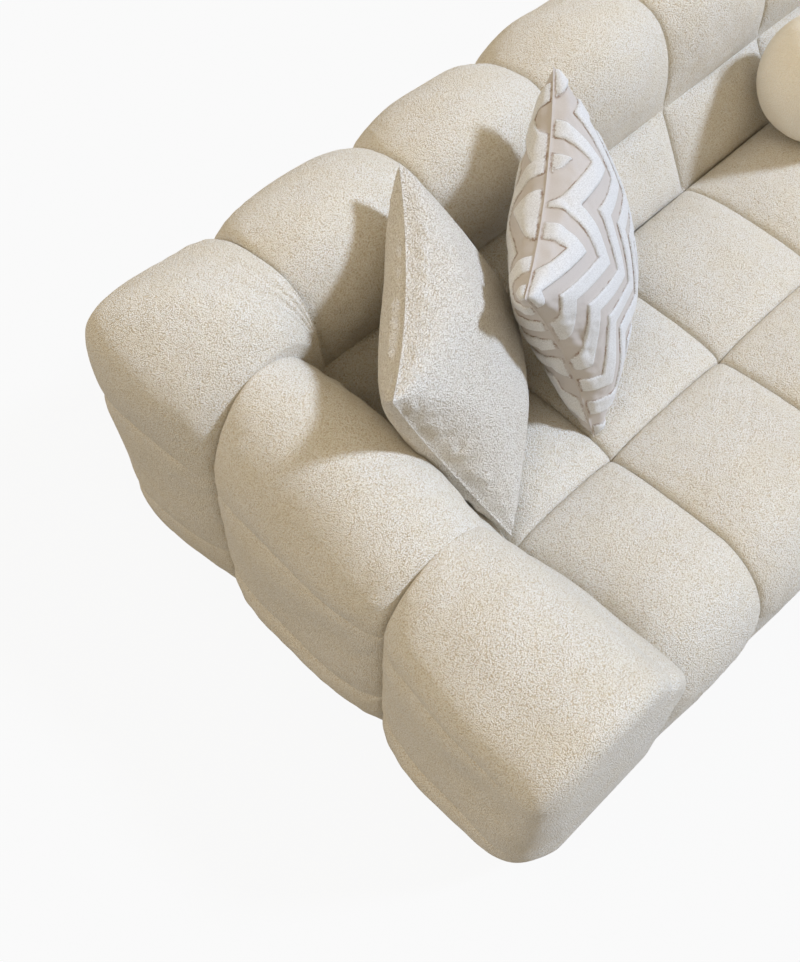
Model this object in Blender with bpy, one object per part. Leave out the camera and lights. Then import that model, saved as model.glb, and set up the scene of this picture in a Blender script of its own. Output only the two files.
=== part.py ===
"""A two-piece tufted sectional sofa with three loose pillows.

Two mirrored modules, each with a seat base, an arm, a corner block and a back, meet on the
plane x = 0 and are held together by sliding connectors under the base. The upholstery is made
of tiles: every pad is a skeleton section carried along its length, and each tile between two
seams swells outwards from that skeleton by its crown.

Metres, +Z up, -Y is the front. Local coordinates of a module: u runs outwards from the module
joint, y from the back line (negative to the front), z from the bottom edge of the upholstery.
"""

import math

import bmesh
import bpy
import numpy as np
from mathutils import Matrix, Vector
from mathutils.bvhtree import BVHTree

# Fits
GAP = 0.0003  # clearance between pieces that touch
MODULE_GAP = 0.0006  # between the two modules when they are pushed together

# Seat
COLUMN = 0.300  # width of one tufted column
COLUMNS = 3  # columns on each module
REAR_ROW = 0.315  # depth of the rear row of seat tiles
FRONT_ROW = 0.340  # depth of the front row, to the front seam plane
SEAT_Z = 0.238  # height of the seat's tuft points
SEAT_CROWN = 0.060  # rise of a seat tile above its tuft points
SEAT_SEAM_RISE = 0.029  # rise of a seam between two tuft points
SEAT_FRONT_RADIUS = 0.105  # waterfall front edge
SEAT_FRONT_LIP = 0.008  # straight run between the waterfall edge and the cushion's underside
BORDER_CROWN = 0.028  # swell of the seat's front face and of the border under it
BORDER_DEPTH = 0.035  # front border, without its crown

# Back and arm sections
BACK_REACH = 0.067  # how far the back's lower tile comes forward of the back line
BACK_DEPTH = 0.274  # from the back line to the rear seams
BACK_NOTCH = (0.020, 0.391)  # seam between lower tile and roll
BACK_CREST = 0.575
ARM_REACH = 0.060
ARM_WIDTH = 0.237
ARM_NOTCH = (0.010, 0.345)
ARM_CREST_REAR = 0.523  # at the corner seam
ARM_CREST_FRONT = 0.428
ARM_DOME = 0.110  # length of the arm's domed front end
ARM_DOME_POWER = 3.2
ARM_FRONT_LEAD = 0.018  # how far the dome stands in front of the seat's front seam plane
ARM_FRONT_FULLNESS = 1.3  # the arm's front tile is fuller on its outer side
ARM_FRONT_SHARE = 0.7  # how far the front tile's swell has run where the dome begins
CORNER_INNER_Z = 0.415  # pull where arm, corner and back meet
CORNER_SQUARENESS = 7.0  # 2 would be a round corner
CORNER_EASE = 0.080  # over which the crown grows from the inner corner
CORNER_CROWN = 0.062
CORNER_RISE = 0.016  # rise of the crest half way round the corner
CORNER_LOW_BAND_CROWN = 0.026
UPPER_BAND_Z = 0.3435  # seam under the roll on the outer side
LOWER_BAND_Z = 0.112  # seam over the lowest band on the outer side
ROLL_POWER = 2.4  # superellipse power of the roll's section
ROLL_CROWN = 0.040
TILE_CROWN = 0.030  # lower front tile
BAND_CROWN = 0.034  # outer bands
LOW_BAND_CROWN = 0.036
SWELL_POWER = 2.5  # how flat a tile is across its middle
ROLL_SWELL_POWER = 4.0
SWELL_FULLNESS = 0.6  # how steeply a tile rises from its seams

# Timber, webbing, steel and feet
RAIL = 0.025
BASE_CROSSBAR_COUNT = 3  # bars across the base frame
BASE_RAIL_COUNT = 2
PANEL = 0.006  # inner side panel
WEBBING = 0.003
STRAP = 0.050
STRAP_SPACING = 0.130
DUST_COVER = 0.002
DUST_COVER_INSET = 0.004
FRAME_SETBACK = 0.100  # from the back or arm line to its timber frame
FRAME_BOARD = 0.040
FRAME_RAIL = 0.050
FRAME_END_INSET = 0.030
BACK_FRAME_POST_COUNT = 3
ARM_FRAME_POST_COUNT = 2
BACK_FRAME_TOP = 0.480
BACK_FRAME_MID = 0.240
ARM_FRAME_TOP = 0.340
ARM_FRAME_MID = 0.170
ARM_FRAME_FRONT_INSET = 0.130
CORNER_POST = 0.060
CORNER_POST_TOP = 0.450
PLATE = 0.003
PLATE_WIDTH = 0.040
PLATE_OVERLAP = 0.020
BACK_PLATE_SHARES = (0.25, 0.75)  # of the way from the module joint to the arm line
ARM_PLATE_SHARES = (0.45, 1.25)  # of the way from the back line to the tuft line
FOOT_HEIGHT = 0.090
FOOT_TOP_RADIUS = 0.028
FOOT_BOTTOM_RADIUS = 0.020
FOOT_INSET = 0.060
FOOT_CHAMFER = 0.003
FOOT_COLLAR = 0.012  # straight part at the top
CONNECTOR_INSET = 0.130  # from the base's front and rear edge
TONGUE_WIDTH = 0.040
TONGUE_LENGTH = 0.055
TONGUE_ROOT = 0.060
SOCKET_SHEET = 0.0025
SOCKET_PLAY = 0.0006
SOCKET_LIP = 0.010

# Pillows
PILLOW_SIDE = 0.430  # tip to tip, filled
PILLOW_THICKNESS = 0.170
PILLOW_PULL = 0.034  # how far a side draws in between its corners
PILLOW_FULLNESS = 0.55
BALL_RADIUS = 0.1265
PLAIN_PILLOW_AT = (-0.134, -0.164)  # centre, from the arm line and from the back line
PLAIN_PILLOW_TURN = math.radians(43)  # about the vertical
PLAIN_PILLOW_LEAN = math.radians(26)  # backwards
PLAIN_PILLOW_ROLL = math.radians(3)  # in its own plane
PATTERNED_PILLOW_AT = (-0.405, -0.168)
PATTERNED_PILLOW_TURN = math.radians(34)
PATTERNED_PILLOW_LEAN = math.radians(20)
PATTERNED_PILLOW_ROLL = math.radians(8.5)
BALL_AT = (0.275, -0.151)

# Derived places
ARM_LINE = COLUMN * COLUMNS
DECK_Z = SEAT_Z - SEAT_FRONT_RADIUS - SEAT_FRONT_LIP  # underside of the seat cushion
SEAT_WIDTH = ARM_LINE - ARM_REACH
SEAT_BACK_Y = -BACK_REACH
TUFT_Y = SEAT_BACK_Y - REAR_ROW
FRONT_Y = TUFT_Y - FRONT_ROW
ARM_FRONT_Y = FRONT_Y - ARM_FRONT_LEAD
FRAME_BOTTOM = -GAP - DUST_COVER
PLATE_TOP = FRAME_BOTTOM - GAP
RAIL_TOP = DECK_Z - WEBBING - 2 * GAP
BASE_FRONT_Y = FRONT_Y + BORDER_DEPTH + GAP
BASE_REAR_Y = SEAT_BACK_Y - GAP
BASE_INNER_U = MODULE_GAP / 2 + PANEL + GAP
BASE_OUTER_U = SEAT_WIDTH - GAP

# Sampling
TILE_STEPS = (0.0, 0.07, 0.22, 0.5, 0.78, 0.93)
EDGE_STEPS = (0.0, 0.10, 0.5, 0.90)
LOWER_TILE_STEPS = (0.0, 0.10, 0.45)
FRONT_ROW_STEPS = (0.0, 0.10, 0.32, 0.66, 1.0)
WATERFALL_STEPS = 4
ROLL_STEPS = 10
CORNER_STEPS = 8
DOME_STEPS = 6
FOOT_SIDES = 20
PILLOW_STEPS = 8
BALL_SEGMENTS = 20
BALL_RINGS = 12
MERGE = 1e-6  # points closer than this are one point
SHARP_ANGLE = math.radians(50)
SETTLE_STEP = 0.0001


def clear_scene():
    for old in list(bpy.data.objects):
        bpy.data.objects.remove(old)


def material(name, colour, roughness=0.9, metallic=0.0):
    made = bpy.data.materials.new(name)
    made.use_nodes = True
    shader = made.node_tree.nodes["Principled BSDF"]
    shader.inputs["Base Color"].default_value = (*colour, 1.0)
    shader.inputs["Roughness"].default_value = roughness
    shader.inputs["Metallic"].default_value = metallic
    return made


def place(side, points):
    """Local module points (u, y, z) in the sofa's frame; side is -1 for left, 1 for right."""
    points = np.asarray(points, float)
    return points * (side, 1, 1) + (0, 0, FOOT_HEIGHT)


def add_object(name, vertices, faces, finish, smooth=False):
    mesh = bpy.data.meshes.new(name)
    mesh.from_pydata([tuple(v) for v in vertices], [], faces)
    work = bmesh.new()
    work.from_mesh(mesh)
    bmesh.ops.remove_doubles(work, verts=work.verts, dist=MERGE)
    bmesh.ops.recalc_face_normals(work, faces=work.faces)
    if work.calc_volume(signed=True) < 0:
        bmesh.ops.reverse_faces(work, faces=work.faces)
    work.to_mesh(mesh)
    work.free()
    if smooth:
        mesh.shade_smooth()
        mesh.set_sharp_from_angle(angle=SHARP_ANGLE)
    piece = bpy.data.objects.new(name, mesh)
    bpy.context.scene.collection.objects.link(piece)
    mesh.materials.append(finish)
    return piece


def swell(share, power=SWELL_POWER):
    """Crown of a tile across its width: 0 on both seams, 1 in the middle."""
    return np.clip(1 - np.abs(2 * np.asarray(share, float) - 1) ** power, 0, 1) ** SWELL_FULLNESS


class Section:
    """A closed outline of skeleton points (p, z) and the push that a full crown gives each."""

    def __init__(self):
        self.points = []
        self.push = []

    def add(self, points, push=None):
        points = np.asarray(points, float)
        self.points.append(points)
        self.push.append(np.zeros_like(points) if push is None else np.asarray(push, float))
        return self

    def line(self, start, end, crown, steps, normal=None):
        """A straight tile from start towards end, without its last point."""
        start, end = np.asarray(start, float), np.asarray(end, float)
        along = end - start
        if normal is None:
            normal = (-along[1], along[0]) / np.linalg.norm(along)
        share = np.asarray(steps, float)[:, None]
        return self.add(start + along * share, np.asarray(normal) * crown * swell(share))

    def done(self):
        return np.concatenate(self.points), np.concatenate(self.push)


def roll_arch(start, end, crest):
    """The roll's skeleton, a superellipse arch from start over the crest to end, and its normals."""
    turn = np.linspace(0, math.pi, ROLL_STEPS + 1)
    bend = 2 / ROLL_POWER
    across = np.sign(np.cos(turn)) * np.abs(np.cos(turn)) ** bend
    rise = np.abs(np.sin(turn)) ** bend
    middle, half = (start[0] + end[0]) / 2, (end[0] - start[0]) / 2
    spring = start[1] + (end[1] - start[1]) * (1 - across) / 2
    height = crest - (start[1] + end[1]) / 2
    points = np.stack((middle - half * across, spring + height * rise), 1)
    tangent = np.gradient(points, axis=0)
    tangent /= np.linalg.norm(tangent, axis=1)[:, None]
    normals = np.stack((-tangent[:, 1], tangent[:, 0]), 1)
    return points[:-1], normals[:-1], (turn / math.pi)[:-1, None]


def outer_side(section, depth, upper, lower):
    """The two bands on the outer side, of given crowns, from the roll's seam to the bottom edge."""
    section.line((depth, UPPER_BAND_Z), (depth, LOWER_BAND_Z), upper, EDGE_STEPS, (1, 0))
    section.line((depth, LOWER_BAND_Z), (depth, 0), lower, EDGE_STEPS, (1, 0))
    return section


def bolster_section(reach, depth, notch, crest, fullness=1.0):
    """Section of the back or an arm: reclined lower tile, roll, and outer bands."""
    foot_point = (-reach, SEAT_Z)
    on_line = reach / (reach + notch[0])  # where the lower tile crosses the back or arm line
    section = Section().add([(-reach, 0)])
    section.line(foot_point, notch, TILE_CROWN, (*LOWER_TILE_STEPS, on_line))
    points, normals, share = roll_arch(notch, (depth, UPPER_BAND_Z), crest)
    section.add(points, normals * ROLL_CROWN * swell(share, ROLL_SWELL_POWER))
    outer_side(section, depth, BAND_CROWN * fullness, LOW_BAND_CROWN * fullness)
    return section.add([(depth, 0), (0, 0)]).done()


def section_fold(points):
    """The two points of a bolster section that lie on the back or arm line, where a mitre folds."""
    return len(LOWER_TILE_STEPS) + 1, len(points) - 1


def corner_section(depth, crest):
    """Section of the corner block, from the inner corner over the roll to the outer bands."""
    inner = (0, CORNER_INNER_Z)
    section = Section().add([(0, 0)])
    points, normals, share = roll_arch(inner, (depth, UPPER_BAND_Z), crest)
    ease = np.clip(points[:, :1] / CORNER_EASE, 0, 1)
    section.add(points, normals * CORNER_CROWN * swell(share, ROLL_SWELL_POWER) * ease)
    outer_side(section, depth, BAND_CROWN, CORNER_LOW_BAND_CROWN)
    return section.add([(depth, 0)]).done()


def loft(name, side, rings, finish, cap_splits=(None, None)):
    """One closed body from rings of points, capped at both ends; a folded cap is split in two."""
    count = len(rings[0])
    vertices = np.concatenate(rings)
    faces = []
    for ring in range(len(rings) - 1):
        low, high = ring * count, (ring + 1) * count
        for k in range(count):
            nxt = (k + 1) % count
            faces.append((low + k, low + nxt, high + nxt, high + k))
    for ring, split in ((0, cap_splits[0]), (len(rings) - 1, cap_splits[1])):
        loop = [ring * count + k for k in range(count)]
        if split is None:
            faces.append(loop)
        else:
            first, last = split
            faces.append(loop[first : last + 1])
            faces.append(loop[last:] + loop[: first + 1])
    return add_object(name, place(side, vertices), faces, finish, smooth=True)


def cut(piece, name, low, high, side):
    """Cuts a box pocket, given in local module coordinates, out of a pad."""
    cutter = box(name, side, low, high, None)
    cutter.hide_render = True
    cutter.display_type = "WIRE"
    pocket = piece.modifiers.new("pocket", "BOOLEAN")
    pocket.operation = "DIFFERENCE"
    pocket.solver = "EXACT"
    pocket.object = cutter


def box(name, side, low, high, finish):
    low, high = np.asarray(low, float), np.asarray(high, float)
    corners = [[(low, high)[k][0], (low, high)[j][1], (low, high)[i][2]]
               for i in (0, 1) for j in (0, 1) for k in (0, 1)]
    faces = [(0, 2, 3, 1), (4, 5, 7, 6), (0, 1, 5, 4), (2, 6, 7, 3), (0, 4, 6, 2), (1, 3, 7, 5)]
    return add_object(name, place(side, corners), faces, finish)


def lattice(name, side, first, second, third, finish, axes=(0, 1, 2)):
    """Crossing bars of one thickness as one body.

    first and second are the bars' edges along two axes, low and high in turn, third the
    thickness range along the third axis. Cells between bars both ways are open.
    """
    columns, rows = len(first) - 1, len(second) - 1
    solid = {(i, j) for i in range(columns) for j in range(rows) if i % 2 == 0 or j % 2 == 0}
    vertices, faces, index = [], [], {}

    def corner(i, j, k):
        if (i, j, k) not in index:
            index[i, j, k] = len(vertices)
            point = [0.0, 0.0, 0.0]
            for axis, value in zip(axes, (first[i], second[j], third[k])):
                point[axis] = value
            vertices.append(point)
        return index[i, j, k]

    def wall(a, b):
        faces.append((corner(*a, 0), corner(*b, 0), corner(*b, 1), corner(*a, 1)))

    for i, j in sorted(solid):
        loop = ((i, j), (i + 1, j), (i + 1, j + 1), (i, j + 1))
        for k in (0, 1):
            faces.append([corner(*c, k) for c in loop])
        beyond = ((i, j - 1), (i + 1, j), (i, j + 1), (i - 1, j))
        for a, cell in enumerate(beyond):
            if cell not in solid:
                wall(loop[a], loop[(a + 1) % 4])
    return add_object(name, place(side, vertices), faces, finish)


def bars(low, high, width, count):
    """Edges of count bars of one width, spread evenly from low to high."""
    starts = np.linspace(low, high - width, count)
    return [edge for start in starts for edge in (start, start + width)]


def column_steps(starts, widths):
    """(place, crown share, column) of each slice across the tufted columns."""
    slices = []
    for column, (start, width) in enumerate(zip(starts, widths)):
        slices += [(start + width * share, share, column) for share in TILE_STEPS]
    slices.append((starts[-1] + widths[-1], 1.0, len(starts) - 1))
    return slices


def seat_columns():
    starts = [MODULE_GAP / 2] + [COLUMN * k for k in range(1, COLUMNS)]
    ends = starts[1:] + [SEAT_WIDTH - GAP]
    return starts, [end - start for start, end in zip(starts, ends)]


def seat_front():
    """Skeleton of the front row from the tuft line over the waterfall edge down to the deck.

    Gives its points (y, z), the share of the whole run down to the bottom edge at each, and how
    far each lies over the edge (0 on the flat, 1 on the front face).
    """
    radius = SEAT_FRONT_RADIUS
    edge = FRONT_Y + radius
    top = [(TUFT_Y + (edge - TUFT_Y) * share, SEAT_Z) for share in FRONT_ROW_STEPS]
    turns = np.linspace(0, math.pi / 2, WATERFALL_STEPS + 1)[1:]
    arc = [(edge - radius * math.sin(t), SEAT_Z - radius * (1 - math.cos(t))) for t in turns]
    points = np.array(top + arc + [(FRONT_Y, DECK_Z)])
    run = np.concatenate(([0], np.cumsum(np.linalg.norm(np.diff(points, axis=0), axis=1))))
    over = np.clip((edge - points[:, :1]) / radius, 0, 1)
    return points, (run / (run[-1] + DECK_Z))[:, None], over


def seat_cushion(side, prefix, finish):
    """Two rows of tiles; the front row runs over the waterfall edge down to the deck."""
    front, front_share, over = seat_front()
    tangent = np.gradient(front, axis=0)
    tangent /= np.linalg.norm(tangent, axis=1)[:, None]
    front_normals = np.stack((tangent[:, 1], -tangent[:, 0]), 1)
    rear_share = np.array(TILE_STEPS)[:, None]
    rear_y = SEAT_BACK_Y - GAP + (TUFT_Y - SEAT_BACK_Y) * rear_share
    rear = np.column_stack((rear_y, np.full(len(rear_y), SEAT_Z)))
    end = [(SEAT_BACK_Y - GAP, DECK_Z)]
    points = np.concatenate((rear, front, end))
    normals = np.concatenate((np.tile((0.0, 1.0), (len(rear), 1)), front_normals, [(0.0, 0.0)]))
    across = np.concatenate((swell(rear_share), swell(front_share), [[0.0]]))
    over = np.concatenate((np.zeros_like(rear_share), over, [[0.0]]))
    beside_tuft = np.concatenate((rear_share > 0.5, front_share < 0.5, [[False]])).astype(float)
    full = SEAT_CROWN + (BORDER_CROWN - SEAT_CROWN) * over
    rise = SEAT_SEAM_RISE * (1 - over)
    rings = []
    for u, share, column in column_steps(*seat_columns()):
        along = swell(share)
        beside_seam = 0.0 if column == COLUMNS - 1 and share > 0.5 else 1.0
        crown = full * along * across
        crown += rise * (beside_seam * across * (1 - along) + beside_tuft * along * (1 - across))
        ring = points + normals * crown
        rings.append(np.column_stack((np.full(len(ring), u), ring)))
    return loft(f"{prefix}_seat_cushion", side, rings, finish)


def front_border(side, prefix, finish):
    """The padded band under the seat's front edge; it goes on with the swell of the seat's front."""
    top = DECK_Z - GAP
    seam_share = seat_front()[1][-1, 0]
    levels = top * (1 - np.array((*EDGE_STEPS, 1.0)))[:, None]
    across = swell(1 - (1 - seam_share) * levels / DECK_Z)
    face = np.column_stack((np.full(len(levels), FRONT_Y), levels))
    rear = [(FRONT_Y + BORDER_DEPTH, 0), (FRONT_Y + BORDER_DEPTH, top)]
    rings = []
    for u, share, _ in column_steps(*seat_columns()):
        swollen = face - across * (BORDER_CROWN * swell(share), 0)
        ring = np.concatenate((rear, swollen))
        rings.append(np.column_stack((np.full(len(ring), u), ring)))
    return loft(f"{prefix}_front_border", side, rings, finish)


def back_pad(side, prefix, finish):
    """The back of one module: the bolster section carried along the columns, mitred at the arm."""
    points, push = bolster_section(BACK_REACH, BACK_DEPTH, BACK_NOTCH, BACK_CREST)
    starts = [MODULE_GAP / 2] + [COLUMN * k for k in range(1, COLUMNS)]
    widths = np.diff(starts + [ARM_LINE - GAP])
    mitre = np.clip(-points[:, 0], 0, None) * ARM_REACH / BACK_REACH
    rings = []
    for u, share, column in column_steps(starts, widths):
        ring = points + push * swell(share)
        draw = share if column == COLUMNS - 1 else 0.0
        rings.append(np.column_stack((u - mitre * draw, ring)))
    return loft(f"{prefix}_back_pad", side, rings, finish, (None, section_fold(points)))


def arm_crest(y):
    return ARM_CREST_REAR + (ARM_CREST_FRONT - ARM_CREST_REAR) * y / FRONT_Y


def arm_pad(side, prefix, finish):
    """An arm: the bolster section carried forward with a falling crest, and a domed front end.

    Each slice has its place y, its share along its tile, the share of the mitre at the back, its
    scale about the middle of the bottom, and how full its outer side is.
    """
    dome_y = ARM_FRONT_Y + ARM_DOME
    slices = [(TUFT_Y * share, share, 1 - share, 1.0, 1.0) for share in TILE_STEPS]
    for share in TILE_STEPS:
        if share < ARM_FRONT_SHARE:
            y = TUFT_Y + (dome_y - TUFT_Y) * share / ARM_FRONT_SHARE
            slices.append((y, min(share, 0.5), 0.0, 1.0, ARM_FRONT_FULLNESS))
    for turn in np.linspace(0, math.pi / 2, DOME_STEPS + 1)[:-1]:
        scale = math.cos(turn) ** (2 / ARM_DOME_POWER)
        ahead = math.sin(turn) ** (2 / ARM_DOME_POWER)
        slices.append((dome_y - ARM_DOME * ahead, 0.5, 0.0, scale, ARM_FRONT_FULLNESS))
    middle = (ARM_WIDTH - ARM_REACH) / 2
    rings = []
    for y, share, mitred, scale, fullness in slices:
        crest = arm_crest(max(y, FRONT_Y))
        points, push = bolster_section(ARM_REACH, ARM_WIDTH, ARM_NOTCH, crest, fullness)
        mitre = np.clip(-points[:, 0], 0, None) * BACK_REACH / ARM_REACH
        ring = points + push * swell(share)
        ring = (ring - (middle, 0)) * scale + (middle, 0)
        along = y - (GAP + mitre) * mitred
        rings.append(np.column_stack((ARM_LINE + ring[:, 0], along, ring[:, 1])))
    return loft(f"{prefix}_arm_pad", side, rings, finish, (section_fold(points), None))


def corner_pad(side, prefix, finish):
    """The corner block: its section swept a quarter turn round the inner corner, squared outside."""
    power = CORNER_SQUARENESS
    rings = []
    for share in np.linspace(0, 1, CORNER_STEPS + 1):
        turn = share * math.pi / 2
        depth = BACK_DEPTH + (ARM_WIDTH - BACK_DEPTH) * share
        crest = BACK_CREST + (ARM_CREST_REAR - BACK_CREST) * share + CORNER_RISE * swell(share)
        points, push = corner_section(depth, crest)
        ring = points + push * swell(share)
        radius = ring[:, 0] * (math.cos(turn) ** power + math.sin(turn) ** power) ** (-1 / power)
        rings.append(np.column_stack((ARM_LINE + GAP + radius * math.sin(turn),
                                      GAP + radius * math.cos(turn), ring[:, 1])))
    return loft(f"{prefix}_corner_pad", side, rings, finish)


def foot(name, side, u, y, finish):
    """A turned foot, tapered to the floor."""
    profile = [(FOOT_BOTTOM_RADIUS - FOOT_CHAMFER, -FOOT_HEIGHT),
               (FOOT_BOTTOM_RADIUS, -FOOT_HEIGHT + FOOT_CHAMFER),
               (FOOT_TOP_RADIUS, PLATE_TOP - FOOT_COLLAR), (FOOT_TOP_RADIUS, PLATE_TOP)]
    turns = np.arange(FOOT_SIDES) * 2 * math.pi / FOOT_SIDES
    rings = []
    for radius, z in profile:
        around = (u + radius * np.cos(turns), y + radius * np.sin(turns), np.full(FOOT_SIDES, z))
        rings.append(np.column_stack(around))
    return loft(name, side, rings, finish)


def extrude(name, side, outline, low, high, axis, finish):
    """An outline in the two other axes, in order, extruded along axis from low to high."""
    others = [k for k in range(3) if k != axis]
    vertices, faces, count = [], [], len(outline)
    for level in (low, high):
        for a, b in outline:
            point = [0.0, 0.0, 0.0]
            point[axis], point[others[0]], point[others[1]] = level, a, b
            vertices.append(point)
    faces = [list(range(count)), list(range(count, 2 * count))]
    faces += [(k, (k + 1) % count, count + (k + 1) % count, count + k) for k in range(count)]
    return add_object(name, place(side, vertices), faces, finish)


def connector_levels():
    """Heights of the connector's sheet, tongue top, tongue bottom and lip bottom."""
    top = PLATE_TOP
    ceiling = top - SOCKET_SHEET
    tongue_top = ceiling - SOCKET_PLAY
    tongue_bottom = tongue_top - PLATE
    lip_top = tongue_bottom - SOCKET_PLAY
    return top, ceiling, tongue_top, tongue_bottom, lip_top, lip_top - SOCKET_SHEET


def socket(name, y, finish):
    """A folded channel under the left base; the tongue slides into it along x."""
    top, ceiling, _, _, lip_top, bottom = connector_levels()
    inner = TONGUE_WIDTH / 2 + SOCKET_PLAY
    outer = inner + SOCKET_SHEET
    lip = inner - SOCKET_LIP
    half = [(outer, top), (outer, bottom), (lip, bottom),
            (lip, lip_top), (inner, lip_top), (inner, ceiling)]
    outline = [(y + a, z) for a, z in half] + [(y - a, z) for a, z in reversed(half)]
    return extrude(name, -1, outline, BASE_INNER_U, BASE_INNER_U + TONGUE_LENGTH, 0, finish)


def tongue(name, y, finish):
    """A stepped steel tongue under the right base that reaches into the socket on the left."""
    top, _, tongue_top, tongue_bottom, _, _ = connector_levels()
    root = BASE_INNER_U + TONGUE_ROOT
    tip = -(BASE_INNER_U + TONGUE_LENGTH - RAIL / 2)
    outline = [(tip, tongue_bottom), (root, tongue_bottom), (root, top), (BASE_INNER_U, top),
               (BASE_INNER_U, tongue_top), (tip, tongue_top)]
    return extrude(name, 1, outline, y - TONGUE_WIDTH / 2, y + TONGUE_WIDTH / 2, 1, finish)


def base(side, prefix, timber, webbing, cloth, cover):
    """Seat base: timber ladder frame, webbing deck, dust cover and the panel at the joint."""
    widths = bars(BASE_INNER_U, BASE_OUTER_U, RAIL, BASE_CROSSBAR_COUNT)
    depths = bars(BASE_FRONT_Y, BASE_REAR_Y, RAIL, BASE_RAIL_COUNT)
    lattice(f"{prefix}_base_frame", side, widths, depths, (0, RAIL_TOP), timber)
    across = max(2, round((BASE_OUTER_U - BASE_INNER_U) / STRAP_SPACING))
    along = max(2, round((BASE_REAR_Y - BASE_FRONT_Y) / STRAP_SPACING))
    deck = (RAIL_TOP + GAP, RAIL_TOP + GAP + WEBBING)
    lattice(f"{prefix}_webbing_deck", side, bars(BASE_INNER_U, BASE_OUTER_U, STRAP, across),
            bars(BASE_FRONT_Y, BASE_REAR_Y, STRAP, along), deck, webbing)
    box(f"{prefix}_dust_cover", side,
        (BASE_INNER_U + DUST_COVER_INSET, BASE_FRONT_Y + DUST_COVER_INSET, FRAME_BOTTOM),
        (BASE_OUTER_U - DUST_COVER_INSET, BASE_REAR_Y - DUST_COVER_INSET, -GAP), cloth)
    box(f"{prefix}_inner_panel", side, (MODULE_GAP / 2, BASE_FRONT_Y, 0),
        (MODULE_GAP / 2 + PANEL, BASE_REAR_Y, DECK_Z - GAP), cover)


def frame_levels(middle, top):
    """Edges of the bottom, middle and top rails of an upright frame."""
    half = FRAME_RAIL / 2
    return [FRAME_BOTTOM, FRAME_BOTTOM + FRAME_RAIL, middle - half, middle + half, top - FRAME_RAIL, top]


def frames(side, prefix, timber):
    """Timber frames of the back and arm and the corner post, with the (low, high) box of each."""
    low, high = FRAME_SETBACK, FRAME_SETBACK + FRAME_BOARD
    start, end = FRAME_END_INSET, ARM_LINE - FRAME_END_INSET
    posts = bars(start, end, FRAME_RAIL, BACK_FRAME_POST_COUNT)
    levels = frame_levels(BACK_FRAME_MID, BACK_FRAME_TOP)
    lattice(f"{prefix}_back_frame", side, posts, levels, (low, high), timber, (0, 2, 1))
    back = ((start, low, 0), (end, high, BACK_FRAME_TOP))
    front, rear = FRONT_Y + ARM_FRAME_FRONT_INSET, -FRAME_END_INSET
    posts = bars(front, rear, FRAME_RAIL, ARM_FRAME_POST_COUNT)
    levels = frame_levels(ARM_FRAME_MID, ARM_FRAME_TOP)
    lattice(f"{prefix}_arm_frame", side, posts, levels,
            (ARM_LINE + low, ARM_LINE + high), timber, (1, 2, 0))
    arm = ((ARM_LINE + low, front, 0), (ARM_LINE + high, rear, ARM_FRAME_TOP))
    post_low = (ARM_LINE + low, low, 0)
    post_high = (ARM_LINE + low + CORNER_POST, low + CORNER_POST, CORNER_POST_TOP)
    box(f"{prefix}_corner_post", side, (*post_low[:2], FRAME_BOTTOM), post_high, timber)
    return back, arm, (post_low, post_high)


def pocket(piece, side, bounds):
    """Opens a pad from below round the timber that stands in it."""
    low, high = np.array(bounds[0]), np.array(bounds[1])
    below = np.array((GAP, GAP, FOOT_HEIGHT / 2))
    cut(piece, f"{piece.name}_pocket", low - below, high + GAP, side)


def steel_plates(side, prefix, steel):
    """Flat plates that join the base to the back frame and to the arm frame."""
    reach = FRAME_SETBACK + FRAME_BOARD - PLATE_OVERLAP / 2
    for number, u in enumerate(ARM_LINE * np.array(BACK_PLATE_SHARES), 1):
        box(f"{prefix}_back_plate_{number}", side,
            (u - PLATE_WIDTH / 2, BASE_REAR_Y - RAIL, PLATE_TOP - PLATE),
            (u + PLATE_WIDTH / 2, reach, PLATE_TOP), steel)
    for number, y in enumerate(TUFT_Y * np.array(ARM_PLATE_SHARES), 1):
        box(f"{prefix}_arm_plate_{number}", side,
            (BASE_OUTER_U - RAIL, y - PLATE_WIDTH / 2, PLATE_TOP - PLATE),
            (ARM_LINE + reach, y + PLATE_WIDTH / 2, PLATE_TOP), steel)


def feet(side, prefix, finish):
    middle = FRAME_SETBACK + FRAME_BOARD / 2
    post = FRAME_SETBACK + CORNER_POST / 2
    front = FRONT_Y + ARM_FRAME_FRONT_INSET + FOOT_INSET / 2
    places = {"front_inner": (BASE_INNER_U + FOOT_INSET, BASE_FRONT_Y + FOOT_INSET),
              "front_outer": (ARM_LINE + middle, front),
              "rear_inner": (FRAME_END_INSET + FOOT_INSET, middle),
              "rear_outer": (ARM_LINE + post, post)}
    for where, (u, y) in places.items():
        foot(f"{prefix}_{where}_foot", side, u, y, finish)


def module(side, prefix, finishes):
    cover = finishes["cover"]
    base(side, prefix, finishes["timber"], finishes["webbing"], finishes["cloth"], cover)
    back_box, arm_box, post_box = frames(side, prefix, finishes["timber"])
    steel_plates(side, prefix, finishes["steel"])
    feet(side, prefix, finishes["foot"])
    back, arm, corner = (make(side, prefix, cover) for make in (back_pad, arm_pad, corner_pad))
    for piece, bounds in ((back, back_box), (arm, arm_box), (corner, post_box)):
        pocket(piece, side, bounds)
    front_border(side, prefix, cover)
    return [seat_cushion(side, prefix, cover), back, arm, corner]


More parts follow.
